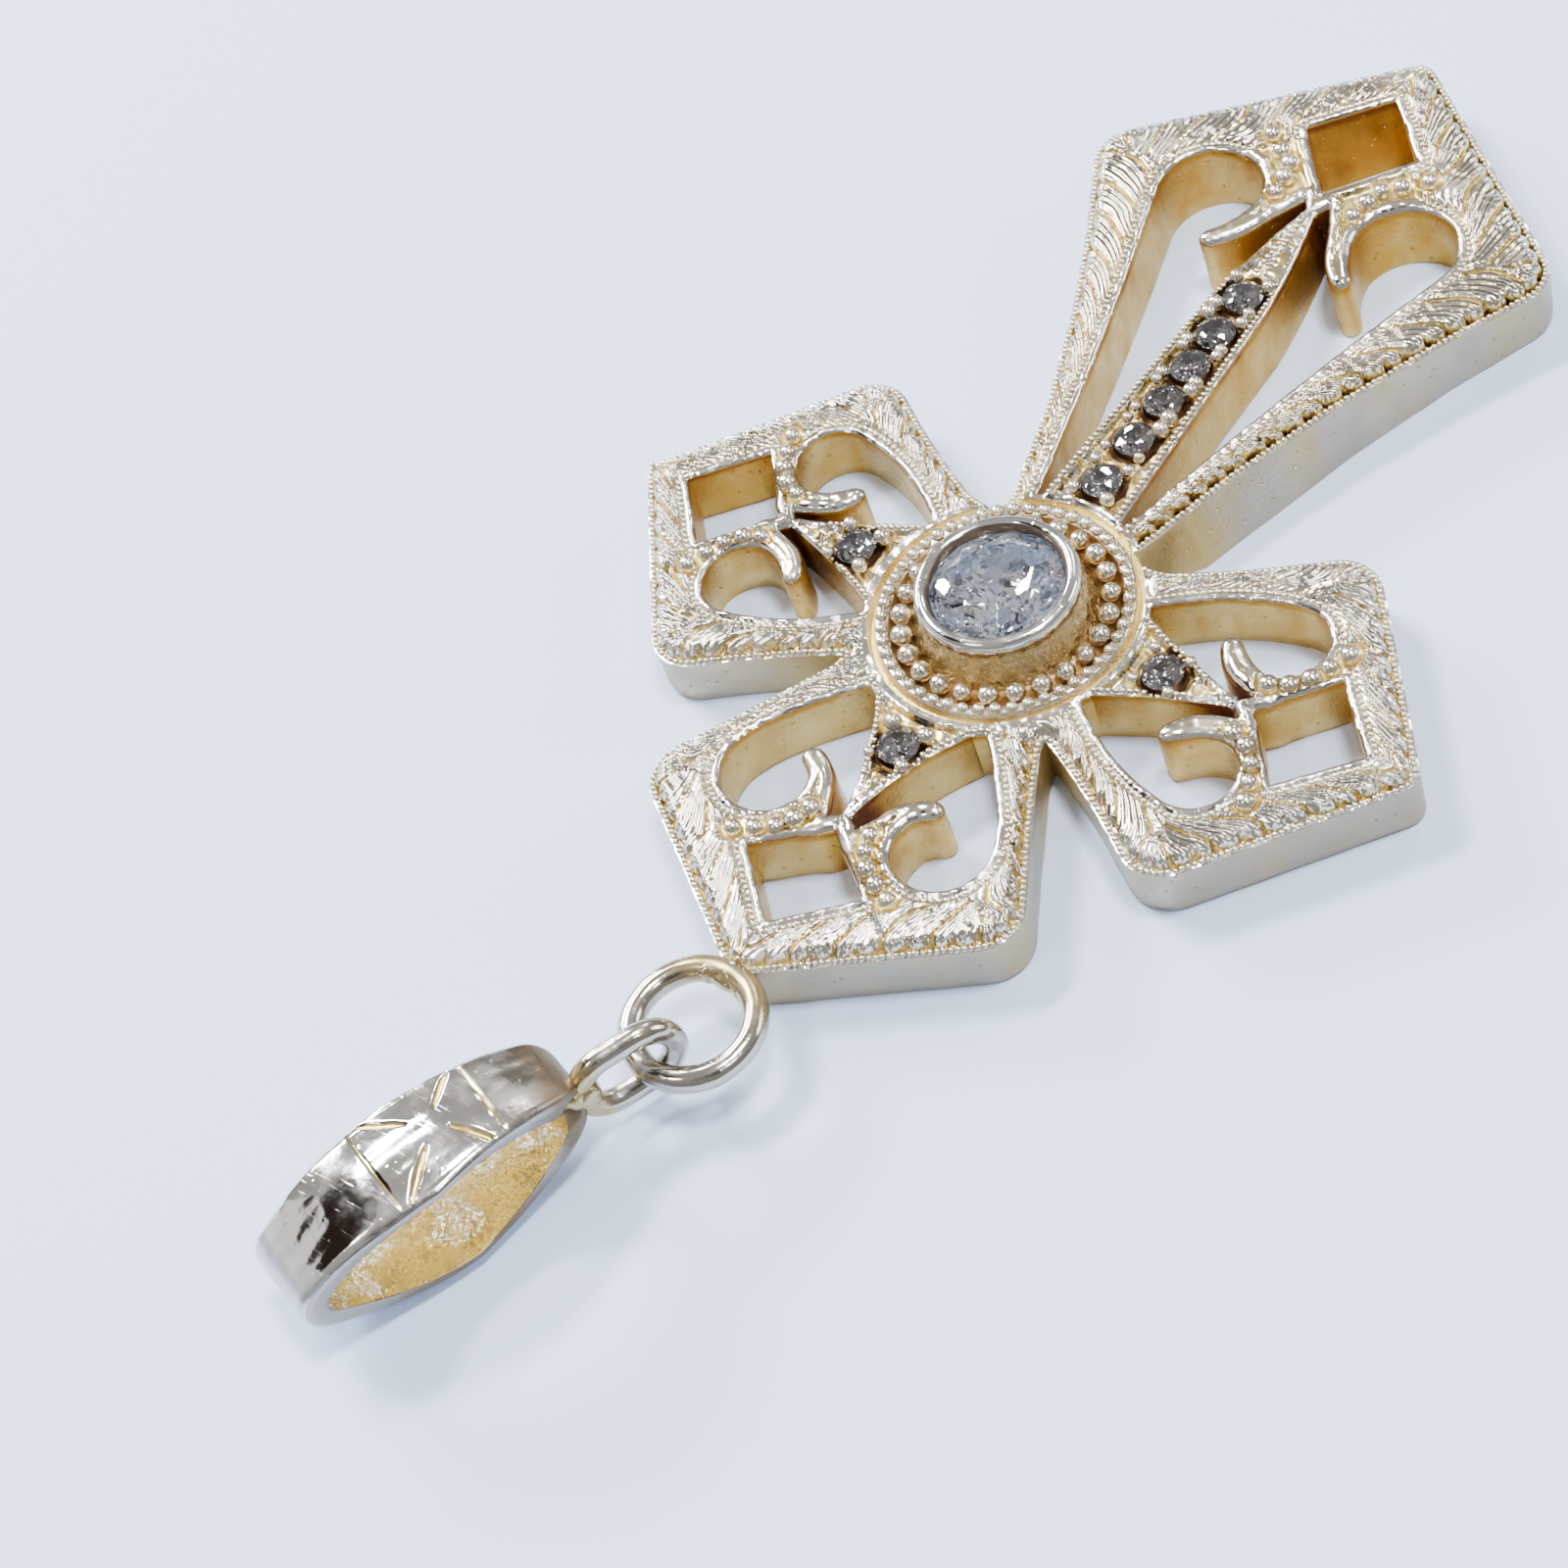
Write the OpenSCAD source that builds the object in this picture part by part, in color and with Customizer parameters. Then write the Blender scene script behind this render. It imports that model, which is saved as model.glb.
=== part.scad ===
// Silver cross pendant with a pierced scroll plate, a bezel-set centre stone, small stones
// on the four arms, a soldered loop and an oval bail. The pendant lies on its back: the back
// face is at z = 0, the axis of the centre stone is the z axis, and the bail lies towards +Y.

/* [Cross plate] */
// Thickness of the pierced plate
plate_t = 1.9; // [1.6:0.1:2.2]
// Rounding of the shoulder corners of the arms
shoulder_r = 1.25; // [0.6:0.05:1.3]
// Rounding of the tip corners of the arms
tip_r = 0.6; // [0.4:0.1:0.8]
// Drop of the bevel along the outer edge
bevel = 0.25; // [0.15:0.05:0.3]
// Height of the cast leaves above the plate
leaf_h = 0.12; // [0.08:0.02:0.2]
// Spacing of the cast leaves along the border
leaf_pitch = 0.7; // [0.65:0.05:1.2]
// Height of the stone plates and the rib above the plate
raised_h = 0.1; // [0.06:0.02:0.16]

/* [Centre setting] */
// Radius of the round boss
boss_r = 3.9; // [3.85:0.05:4]
// Number of beads in the ring round the cup
bead_count = 34; // [24:1:36]
// Radius of the ring of beads
bead_ring_r = 2.95; // [2.9:0.05:3]
// Radius of one bead
bead_r = 0.21; // [0.15:0.01:0.22]
// Outer radius of the polished bezel lip
bezel_r = 2.32; // [2.28:0.02:2.36]
// Height of the bezel lip above the plate
bezel_h = 1.3; // [1.2:0.05:1.4]
// Depth of the groove round the boss
groove_d = 0.6; // [0.3:0.1:0.7]

/* [Stones] */
// Diameter of the centre stone
centre_d = 4; // [3.8:0.05:4.05]
// Diameter of the small stones
small_d = 1.2; // [1:0.05:1.2]
// Gap between a stone and its seat
seat_gap = 0.03; // [0.02:0.01:0.05]

/* [Loop and bail] */
// Thickness of the wire of the loop that is soldered to the cross
loop_wire = 0.75; // [0.6:0.05:0.8]
// Radius of that loop, to the middle of its wire
loop_r = 1.68; // [1.6:0.02:1.72]
// Length of the oval bail band
bail_l = 9.08; // [8.8:0.02:9.4]
// Height of the oval bail band
bail_h = 4.1; // [3.9:0.05:4.4]
// Width of the band in its middle
bail_w = 3; // [2.6:0.1:3.2]
// Width of the band at its ends
bail_end_w = 2.2; // [2:0.1:2.6]
// Wall of the band at the front and the back
bail_wall = 0.55; // [0.45:0.05:0.7]
// Thickness of the wire of the bail's own ring
ring_wire = 0.7; // [0.6:0.05:0.75]

/* [Hidden] */

silver = [0.86, 0.86, 0.84];
bright_silver = [0.8, 0.8, 0.8];
clear_stone = [0.82, 0.86, 0.93];
grey_stone = [0.6, 0.62, 0.68];

// Points are [across, along] an arm that points to +Y, and turn sets the arm's direction.
TURN = 0;
TIP = 1;
SHOULDER = 2;
HALF_W = 3;
NEAR_W = 4;
SAG = 5;
EYE = 6;
EYE_R = 7;
TAIL = 8;
TAIL_PULL = 9;
HOOK_IN = 10;
HOOK_OUT = 11;
HOOK_PULL = 12;
WEDGE = 13;
SPIKE_TOP = 14;
SPIKE_PULL = 15;
SPIKE_MID = 16;
SPIKE_BASE = 17;
SQUARE = 18;
// Columns: turn, tip, shoulder, half width there, half width at near_a, sag of the side,
// eye centre, eye radius, end of the tail by the boss, pull of the tail's outer side, inner and
// outer corner of the hook, pull of the hook's outer side, end of the gap beside the spike,
// the spike's half width near its point, the pull of its side, its waist and its foot, and the
// square hole as [near corner, side corners, far corner, half width].
arms = [
    [0, 13.05, 8.76, 6.51, 3.46, -0.06, [2.93, 7.3], 1.38, [1.95, 3.78], [4.05, 5.9],
     [2.3, 6.5], [2.1, 6.2], [1, 6.6], [0.5, 7.85], [0.12, 7.6], [0.5, 5.6], [1.6, 4],
     [1.6, 3.98], [8.12, 9.6, 11.35, 1.95]],
    [-90, 13, 8.12, 6, 3.16, -0.15, [2.33, 7.6], 1.17, [1.75, 3.65], [3.19, 5.48],
     [1.85, 6.3], [1.62, 6.12], [0.7, 6.5], [0.38, 7.7], [0.12, 7.45], [0.7, 5.4],
     [1.45, 3.82], [1.45, 3.8], [7.95, 9.61, 11.37, 1.83]],
    [90, 13, 8.12, 6, 3.16, -0.15, [2.33, 7.6], 1.17, [1.75, 3.65], [3.19, 5.48],
     [1.85, 6.3], [1.62, 6.12], [0.7, 6.5], [0.38, 7.7], [0.12, 7.45], [0.7, 5.4],
     [1.45, 3.82], [1.45, 3.8], [7.95, 9.61, 11.37, 1.83]],
    [180, 22.8, 16.46, 7.86, 2.21, -0.56, [3.28, 15.7], 1.58, [1.48, 3.8], [2.9, 9.7],
     [2.5, 14], [2.2, 13.8], [1.35, 14.5], [0.42, 16.42], [0.15, 16.1], [0.75, 13.8],
     [0.95, 12], [1.28, 3.9], [16.8, 18.95, 20.9, 1.9]]
];
// Distance from the centre at which the half width of an arm's neck is given
near_a = 3.5;
// Distance from the centre at which the arms begin inside the boss, as a share of that width
root_a = 2;
root_share = 0.88;
// Angles on the eye, from the across direction, where its tail and its hook begin
eye_from = -15;
eye_to = 185;
// Distance of each rib stone and each arm stone from the centre
rib_stones = [4.9, 6.55, 8.1, 9.5, 10.85, 12.35];
arm_stone = 5.15;
// Lengths of the leaves at the neck, at the shoulder and at the tip of an arm
leaf_near = 0.65;
leaf_far = 1.9;
leaf_tip = 1.7;
// Height of the centre stone's girdle above the plate
centre_seat = 0.8;
// Inner radius of the bezel lip, and depth of the channel in which the ring of beads lies
lip_in = 1.88;
channel_d = 0.15;
// Centre of the soldered loop
loop_at = [0.05, 14.65, 1.55];
// Place of the bail band's middle, and its turn from the y axis
bail_at = [3.2, 21.9];
bail_turn = 18;
// Radius of the crown across the band's width
crown_r = 5.5;
// Free end of the bail's ring, its turn, the radius of its ends and the straight between them
ring_tip = [0.01, 14.98, 1.68];
ring_turn = 24.6;
ring_r = 0.95;
ring_slot = 0.9;
// Distance from the ring's free end to its solder joint
solder_at = 3.05;

function bezier(a, b, c, n) = [
    for (k = [0:n])
        let (t = k / n)
        (1 - t) * (1 - t) * a + 2 * t * (1 - t) * b + t * t * c
];
function arc(centre, r, from, to, n) = [
    for (k = [0:n])
        let (w = from + (to - from) * k / n)
        centre + r * [cos(w), sin(w)]
];
function unit(v) = v / norm(v);
function turned(from, to) = from + (((to - from + 540) % 360) - 180);
// Points of the arc that rounds the corner b between a and c
function rounded(a, b, c, r, n) =
    let (u = unit(a - b), v = unit(c - b), half = acos(u * v) / 2)
    let (centre = b + unit(u + v) * r / sin(half), reach = r / tan(half))
    let (p = b + u * reach - centre, q = b + v * reach - centre)
    let (from = atan2(p[1], p[0]), to = atan2(q[1], q[0]))
    arc(centre, r, from, turned(from, to), n);
// The points of an outline moved inwards by d, square to the sides that meet there
function inset(points, d) =
    let (n = len(points))
    [
        for (k = [0:n - 1])
            let (u = unit(points[k] - points[(k + n - 1) % n]), v = unit(points[(k + 1) % n] - points[k]))
            let (w = unit([-u[1] - v[1], u[0] + v[0]]))
            points[k] + w * d / (w * [-u[1], u[0]])
    ];
function mirrored(points) = [for (k = [len(points) - 1:-1:0]) [-points[k][0], points[k][1]]];

// One side of an arm's outline, from the neck to the shoulder
function arm_side(a) =
    let (near = [a[NEAR_W], near_a], far = [a[HALF_W], a[SHOULDER]])
    bezier(near, (near + far) / 2 + [2 * a[SAG], 0], far, 4);

function arm_half(a) =
    let (side = arm_side(a), corner = side[4], tip = [0, a[TIP]])
    concat([[a[NEAR_W] * root_share, root_a]], [for (k = [0:3]) side[k]],
           rounded(side[3], corner, tip, shoulder_r, 8));

function arm_outline(a) =
    let (half = arm_half(a), tip = [0, a[TIP]], corner = [a[HALF_W], a[SHOULDER]])
    concat(half, rounded(corner, tip, [-corner[0], corner[1]], tip_r, 6), mirrored(half));

// The comma-shaped hole beside the spike: tail, eye, hook and the gap up to the spike's point
function comma(a) =
    let (eye = arc(a[EYE], a[EYE_R], eye_from, eye_to, 20))
    let (last = eye[20], hook_bend = [last[0] + 0.02, (last[1] + a[HOOK_IN][1]) / 2 - 0.1])
    concat(bezier(a[TAIL], a[TAIL_PULL], eye[0], 8), [for (k = [1:20]) eye[k]],
           [for (k = [1:5]) bezier(last, hook_bend, a[HOOK_IN], 5)[k]],
           bezier(a[HOOK_OUT], a[HOOK_PULL], a[WEDGE], 6),
           bezier(a[SPIKE_TOP], a[SPIKE_PULL], a[SPIKE_MID], 6), [a[SPIKE_BASE]]);

function spike(a) =
    let (half = concat([[a[SPIKE_BASE][0], boss_r - 0.8], a[SPIKE_BASE]],
                       [for (k = [6:-1:0]) bezier(a[SPIKE_TOP], a[SPIKE_PULL], a[SPIKE_MID], 6)[k]]))
    concat(half, [[0, a[SPIKE_TOP][1] + 0.3]], mirrored(half));

function square_hole(a) =
    let (s = a[SQUARE])
    [[0, s[0]], [s[3], s[1]], [0, s[2]], [-s[3], s[1]]];

// One leaf of the border, a slim blade that starts at the outer edge and slants back
module leaf(long) {
    slant = 140;
    blade = 0.15;
    rotate(slant)
        linear_extrude(plate_t + leaf_h)
            polygon([[0, 0], [long * 0.3, -blade], [long * 0.7, -blade * 0.8], [long, 0],
                     [long * 0.6, blade], [long * 0.25, blade]]);
}

// Leaves along a run of the outline, from one point to another. The metal is on the left of
// the run, and the leaves grow from one length to another.
module leaf_run(from, to, long_from, long_to) {
    edge = bevel + 0.05;
    run = norm(to - from);
    count = round(run / leaf_pitch);
    translate(from)
        rotate(atan2(to[1] - from[1], to[0] - from[0]))
            for (k = [0:count - 1])
                let (part = (k + 0.5) / count)
                translate([part * run, edge])
                    leaf(long_from + (long_to - long_from) * part);
}

// The leaves of both sides of an arm, cut off where the bevel begins
module arm_leaves(a) {
    side = arm_side(a);
    tip_gap = 0.5;
    tip = [0, a[TIP] - tip_gap];
    start = side[4] * 0.96 + tip * 0.04;
    intersection() {
        linear_extrude(plate_t + 2 * leaf_h)
            polygon(inset(arm_outline(a), bevel));
        for (flip = [0, 1])
            mirror([flip, 0])
                union() {
                    for (k = [0:3])
                        leaf_run(side[k], side[k + 1], leaf_near + (leaf_far - leaf_near) * k / 4,
                                 leaf_near + (leaf_far - leaf_near) * (k + 1) / 4);
                    leaf_run(start, tip, leaf_far, leaf_tip);
                }
    }
}

// The plate of one arm: its outline, with the bevel along the top edge. The arm is even on both
// sides of its axis, so its flat faces are strips from one side to the other.
module arm_plate(a) {
    outline = arm_outline(a);
    n = len(outline);
    inner = inset(outline, bevel);
    points = concat([for (p = outline) [p[0], p[1], 0]],
                    [for (p = outline) [p[0], p[1], plate_t - bevel]],
                    [for (p = inner) [p[0], p[1], plate_t]]);
    walls = [
        for (ring = [0, 1])
            for (k = [0:n - 1])
                [ring * n + k, ring * n + n + k, ring * n + n + (k + 1) % n, ring * n + (k + 1) % n]
    ];
    middle = (n - 1) / 2;
    bottom = concat([for (k = [0:middle - 2]) [k, k + 1, n - 2 - k, n - 1 - k]],
                    [[middle - 1, middle, middle + 1]]);
    top = concat([for (k = [0:middle - 2]) 2 * n * [1, 1, 1, 1] + [n - 1 - k, n - 2 - k, k + 1, k]],
                 [2 * n * [1, 1, 1] + [middle + 1, middle, middle - 1]]);
    polyhedron(points, concat(bottom, top, walls));
}

// Seat of a stone whose girdle is at z = 0: a cone, and above it a round wall
module cone_seat(d, wall_h) {
    r = d / 2 + seat_gap;
    depth = 0.44 * d;
    translate([0, 0, -depth])
        cylinder(h = depth, r1 = 0.05, r2 = r, $fn = 64);
    cylinder(h = wall_h, r = r, $fn = 64);
}

// Four little beads that hold a small stone
module stone_beads() {
    grain_r = 0.15;
    reach = small_d / 2 + seat_gap + grain_r;
    for (w = [45:90:315])
        rotate(w)
            translate([reach, 0, 0.05])
                sphere(r = grain_r, $fn = 24);
}

// The turned part of the setting: groove, rim, channel of the beads, cup and lip
module boss() {
    groove_z = plate_t - groove_d;
    groove_in = boss_r - 0.17;
    rim_z = plate_t + 0.05;
    rim_out = 3.5;
    rim_in = 3.28;
    channel_z = plate_t - channel_d;
    channel_out = 3.2;
    foot_r = bezel_r + 0.1;
    neck_r = bezel_r - 0.12;
    neck_z = plate_t + 0.45;
    lip_z = plate_t + bezel_h;
    lip_low = lip_z - 0.45;
    edge = 0.12;
    core_z = lip_z - 0.1;
    rotate_extrude($fn = 96)
        polygon([[0, 0], [boss_r, 0], [boss_r, groove_z], [groove_in, groove_z],
                 [rim_out, rim_z], [rim_in, rim_z], [channel_out, channel_z], [foot_r, channel_z],
                 [neck_r, neck_z], [neck_r, lip_low - 0.1], [bezel_r, lip_low],
                 [bezel_r, lip_z - edge], [bezel_r - edge, lip_z], [lip_in + 0.08, lip_z],
                 [lip_in - 0.08, core_z], [0, core_z]]);
}

module bead_ring() {
    for (k = [0:bead_count - 1])
        rotate(k * 360 / bead_count)
            translate([bead_ring_r, 0, plate_t - channel_d])
                sphere(r = bead_r, $fn = 24);
}

// The hollow of the cup: a cone under the stone, its girdle's seat and the lip's inside
module cup_hole() {
    seat_h = 0.22;
    translate([0, 0, plate_t + centre_seat])
        cone_seat(centre_d, seat_h);
    translate([0, 0, plate_t + centre_seat])
        cylinder(h = bezel_h, r = lip_in, $fn = 64);
}

module loop() {
    rotate_extrude($fn = 64)
        translate([loop_r, 0])
            circle(d = loop_wire, $fn = 24);
}
module openwork() {
    for (a = arms)
        rotate(a[TURN])
            translate([0, 0, -1])
                linear_extrude(plate_t + 2) {
                    polygon(comma(a));
                    mirror([1, 0])
                        polygon(comma(a));
                    polygon(square_hole(a));
                }
}

module plate() {
    for (a = arms)
        rotate(a[TURN]) {
            arm_plate(a);
            arm_leaves(a);
            linear_extrude(plate_t + raised_h)
                polygon(spike(a));
        }
}

// Turn and distance of each small stone
function small_stones() = concat([for (y = rib_stones) [180, y]], [for (w = [0, -90, 90]) [w, arm_stone]]);

module at_stone(k) {
    stone = small_stones()[k];
    rotate(stone[0])
        translate([0, stone[1], plate_t + raised_h - 0.05])
            children();
}

module cross() {
    color(silver)
        difference() {
            union() {
                difference() {
                    plate();
                    translate([0, 0, plate_t - groove_d])
                        cylinder(h = 2, r = boss_r, $fn = 96);
                }
                boss();
                bead_ring();
                for (k = [0:8])
                    at_stone(k)
                        stone_beads();
                translate(loop_at)
                    loop();
            }
            openwork();
            cup_hole();
            for (k = [0:8])
                at_stone(k)
                    cone_seat(small_d, small_d);
        }
}

// A round brilliant with its girdle at z = 0: table, crown, girdle, pavilion and point
module brilliant(d, color_of) {
    r = d / 2;
    table_r = 0.57 * r;
    crown_h = 0.3 * r;
    waist = 0.04 * r;
    pavilion_h = 0.84 * r;
    star_r = 0.84 * r;
    star_z = waist + crown_h * (r - star_r * cos(22.5)) / (r - table_r);
    keel_r = 0.3 * r;
    keel_z = -pavilion_h * (r - keel_r * cos(22.5)) / r;
    table = [for (k = [0:7]) [table_r * cos(45 * k), table_r * sin(45 * k), waist + crown_h]];
    star = [for (k = [0:7]) [star_r * cos(45 * k + 22.5), star_r * sin(45 * k + 22.5), star_z]];
    top = [for (k = [0:15]) [r * cos(22.5 * k), r * sin(22.5 * k), waist]];
    low = [for (k = [0:15]) [r * cos(22.5 * k), r * sin(22.5 * k), 0]];
    keel = [for (k = [0:7]) [keel_r * cos(45 * k + 22.5), keel_r * sin(45 * k + 22.5), keel_z]];
    s = 8;
    t = 16;
    l = 32;
    q = 48;
    point = 56;
    faces = concat(
        [[for (k = [7:-1:0]) k]],
        [for (k = [0:7]) [k, (k + 1) % 8, s + k]],
        [for (k = [0:7]) [k, s + k, t + 2 * k]],
        [for (k = [0:7]) [k, t + 2 * k, s + (k + 7) % 8]],
        [for (k = [0:7]) [s + k, t + 2 * k + 1, t + 2 * k]],
        [for (k = [0:7]) [s + k, t + (2 * k + 2) % 16, t + 2 * k + 1]],
        [for (k = [0:15]) [t + k, t + (k + 1) % 16, l + (k + 1) % 16, l + k]],
        [for (k = [0:7]) [q + k, l + 2 * k, l + 2 * k + 1]],
        [for (k = [0:7]) [q + k, l + 2 * k + 1, l + (2 * k + 2) % 16]],
        [for (k = [0:7]) [point, l + 2 * k, q + k]],
        [for (k = [0:7]) [point, q + (k + 7) % 8, l + 2 * k]]);
    color(color_of)
        polyhedron(concat(table, star, top, low, keel, [[0, 0, -pavilion_h]]), faces);
}

module centre_stone() {
    translate([0, 0, plate_t + centre_seat])
        brilliant(centre_d, clear_stone);
}

module small_stone(k) {
    at_stone(k)
        brilliant(small_d, grey_stone);
}

// Front view of the bail band: an oval of four arcs
function oval(l, h, end_r) =
    let (x = l / 2 - end_r, b = h / 2)
    let (big = (x * x + b * b - end_r * end_r) / (2 * (b - end_r)), w = atan2(big - b, x))
    concat(arc([x, 0], end_r, -w, w, 8),
           [for (k = [1:15]) arc([0, b - big], big, w, 180 - w, 16)[k]],
           arc([-x, 0], end_r, 180 - w, 180 + w, 8),
           [for (k = [1:15]) arc([0, big - b], big, 180 + w, 360 - w, 16)[k]]);

// The oval band: its front view, its outline from above, and the crown across its width
module band() {
    long = bail_l / 2 + 1;
    half_h = bail_h / 2;
    intersection() {
        rotate([90, 0, 0])
            linear_extrude(bail_w + 1, center = true)
                difference() {
                    polygon(oval(bail_l, bail_h, 1.1));
                    polygon(oval(bail_l - 1.5, bail_h - 2 * bail_wall, 0.45));
                }
        linear_extrude(bail_h + 1, center = true)
            polygon([[-long, -bail_end_w / 2], [0, -bail_w / 2], [long, -bail_end_w / 2],
                     [long, bail_end_w / 2], [0, bail_w / 2], [-long, bail_end_w / 2]]);
        translate([0, 0, crown_r - half_h])
            rotate([0, 90, 0])
                cylinder(h = 2 * long, r = crown_r, center = true, $fn = 128);
        translate([0, 0, half_h - crown_r])
            rotate([0, 90, 0])
                cylinder(h = 2 * long, r = crown_r, center = true, $fn = 128);
    }
}

// The bail's own ring, a narrow oval of wire that stands on edge through the cross's loop. Its
// free end is at x = 0, and its other end is soldered to the band.
module ring() {
    reach = ring_r + ring_wire / 2;
    rotate([90, 0, 0]) {
        translate([reach, 0])
            rotate(90)
                half_turn();
        translate([reach + ring_slot, 0])
            rotate(-90)
                half_turn();
        for (side = [-1, 1])
            translate([reach, side * ring_r])
                rotate([0, 90, 0])
                    cylinder(h = ring_slot, d = ring_wire, $fn = 24);
    }
    translate([solder_at, 0, 0])
        sphere(r = 0.6, $fn = 32);
}

module half_turn() {
    rotate_extrude(angle = 180, $fn = 48)
        translate([ring_r, 0])
            circle(d = ring_wire, $fn = 24);
}

module bail() {
    color(bright_silver)
        union() {
            translate([bail_at[0], bail_at[1], bail_h / 2])
                rotate(90 - bail_turn)
                    band();
            translate(ring_tip)
                rotate(90 - ring_turn)
                    ring();
        }
}

cross();
bail();
centre_stone();
small_stone(0);  // rib_stone_1
small_stone(1);  // rib_stone_2
small_stone(2);  // rib_stone_3
small_stone(3);  // rib_stone_4
small_stone(4);  // rib_stone_5
small_stone(5);  // rib_stone_6
small_stone(6);  // arm_stone_top
small_stone(7);  // arm_stone_left
small_stone(8);  // arm_stone_right
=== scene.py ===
"""Looks of a silver cross pendant that lies on its back: cast relief, milgrain, stones and bail.

Lengths in this file are in millimetres, in the frame of the part, until mm() turns them into metres.
"""
import math

import bmesh
import bpy
import numpy as np
from mathutils import Matrix, Vector, geometry, kdtree


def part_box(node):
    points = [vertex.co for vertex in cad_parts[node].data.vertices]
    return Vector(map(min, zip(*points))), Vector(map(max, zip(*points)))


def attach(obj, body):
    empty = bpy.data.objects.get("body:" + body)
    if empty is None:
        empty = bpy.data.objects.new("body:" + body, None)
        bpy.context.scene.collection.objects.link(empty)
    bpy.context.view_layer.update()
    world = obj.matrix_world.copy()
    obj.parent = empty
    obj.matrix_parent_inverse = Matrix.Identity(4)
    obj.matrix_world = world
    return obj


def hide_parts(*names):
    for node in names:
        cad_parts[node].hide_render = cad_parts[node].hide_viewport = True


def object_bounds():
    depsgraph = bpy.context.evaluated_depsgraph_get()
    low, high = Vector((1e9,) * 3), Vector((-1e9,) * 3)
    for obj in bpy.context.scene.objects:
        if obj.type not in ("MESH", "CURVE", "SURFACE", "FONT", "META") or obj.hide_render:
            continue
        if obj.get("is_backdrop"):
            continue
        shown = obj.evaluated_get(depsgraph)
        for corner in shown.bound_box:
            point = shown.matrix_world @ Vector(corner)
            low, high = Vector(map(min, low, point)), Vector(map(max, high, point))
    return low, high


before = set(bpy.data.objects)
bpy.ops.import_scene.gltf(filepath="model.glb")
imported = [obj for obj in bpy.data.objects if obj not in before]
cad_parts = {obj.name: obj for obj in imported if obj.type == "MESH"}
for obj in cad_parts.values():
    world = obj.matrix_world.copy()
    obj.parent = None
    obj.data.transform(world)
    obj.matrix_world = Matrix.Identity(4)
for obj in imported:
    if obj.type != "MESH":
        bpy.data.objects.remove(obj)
cad_low, cad_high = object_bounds()
MM = 0.001

# Sizes of the cross
PLATE_T = 1.9
BOSS_R = 3.9
GROOVE_Z = PLATE_T - 0.22
EDGE_DROP = 0.22
LOOP_AT = (0.05, 14.65, 1.55)
LOOP_R = 1.68
LOOP_WIRE_R = 0.375
SEAT_R = 0.63
EDGE_SLOPE_W = 0.55
BOSS_OPENING_R = BOSS_R - 0.06
RIM_BEADS_R = 3.46
BOSS_BEADS_R, BOSS_BEADS = 2.93, 25
PRONGS_R = 0.79
# Sizes of the bail
BAIL_AT = (3.2, 21.9, 2.05)
BAIL_TURN = 18
BAIL_L, BAIL_H, BAIL_END_R = 9.08, 4.1, 1.1
BAIL_W, BAIL_END_W = 3.0, 2.2
BAIL_WALL, BAIL_END_WALL = 0.55, 0.75
CROWN_R = 5.5
RING_TIP = (0.01, 14.98, 1.68)
RING_TURN = 24.6
RING_R, RING_SLOT, RING_WIRE_R = 0.95, 0.9, 0.35
SOLDER_AT = 3.05
# Sizes of the relief
RELIEF_STEP = 0.068
LEAF_PITCH = 1.3
LEAF_H = 0.16
BORDER_W = 2.35
LIP_W = 0.16
BEAD_LINE = 0.29
VEINS_AT, VEIN_DEPTH = (0.28, 0.5, 0.72), 0.03
NOTCH_DEPTH = 0.26
PIT_DEPTH = 0.16
BED_DEPTH = 0.08
LONG_FOLD, SHORT_FOLD = (12.95, 13.3), (5.9, 6.2)
LONG_SPIKE_END = 17
BEADS_OFF_BOSS = 0.12
GRAIN_OFF_HOLE = 0.34
# How far beside a sample of an outline its own straight piece is taken to reach
SAMPLE_REACH = 0.06
# Centres of the two squares with darker gilding, along their arms
LONG_SQUARE_AT, SHORT_SQUARE_AT = 18.94, 9.8
# Spikes between the scrolls, by the turn of their arm: point, pull of the side and foot, each as
# (half width, distance from the centre)
SPIKES = {
    0: ((0.12, 7.6), (0.5, 5.6), (1.6, 4.0)),
    -90: ((0.12, 7.45), (0.7, 5.4), (1.45, 3.82)),
    90: ((0.12, 7.45), (0.7, 5.4), (1.45, 3.82)),
    180: ((0.15, 16.1), (0.75, 13.8), (0.95, 12.0)),
}
RIB_FOOT = (1.28, 3.9)
# Grains on the roots of the scrolls, as (half width, distance from the centre)
SHORT_GRAINS = ((2.6, 9.35), (2.03, 9.09), (1.53, 8.8), (1.18, 8.36), (1.0, 7.88))
LONG_GRAINS = ((2.65, 18.3), (2.03, 17.8), (1.55, 17.45), (1.4, 16.9), (1.3, 16.3))
# Half the angle of the long arm's share of the plate, seen from the centre
LONG_ARM_SHARE = 36
# Direction in plan from the cross to the camera
TO_CAMERA = np.array((-0.824, 0.566))


def mm(values):
    """Metres from millimetres."""
    return np.asarray(values, float) * MM


def smooth_step(low, high, x):
    t = np.clip((np.asarray(x, float) - low) / (high - low), 0, 1)
    return t * t * (3 - 2 * t)


def around(count):
    """Even angles once round a circle."""
    return np.arange(count) * 2 * math.pi / count


def from_middle(points, middle=(0, 0)):
    """Distance of points in plan from a middle."""
    return np.hypot(*(points - np.asarray(middle)).T)


def turned(points, degrees):
    """Turns points about z."""
    w = math.radians(degrees)
    x, y = points[:, 0], points[:, 1]
    across = [x * math.cos(w) - y * math.sin(w), x * math.sin(w) + y * math.cos(w)]
    return np.column_stack([*across, points[:, 2:]])


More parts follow.
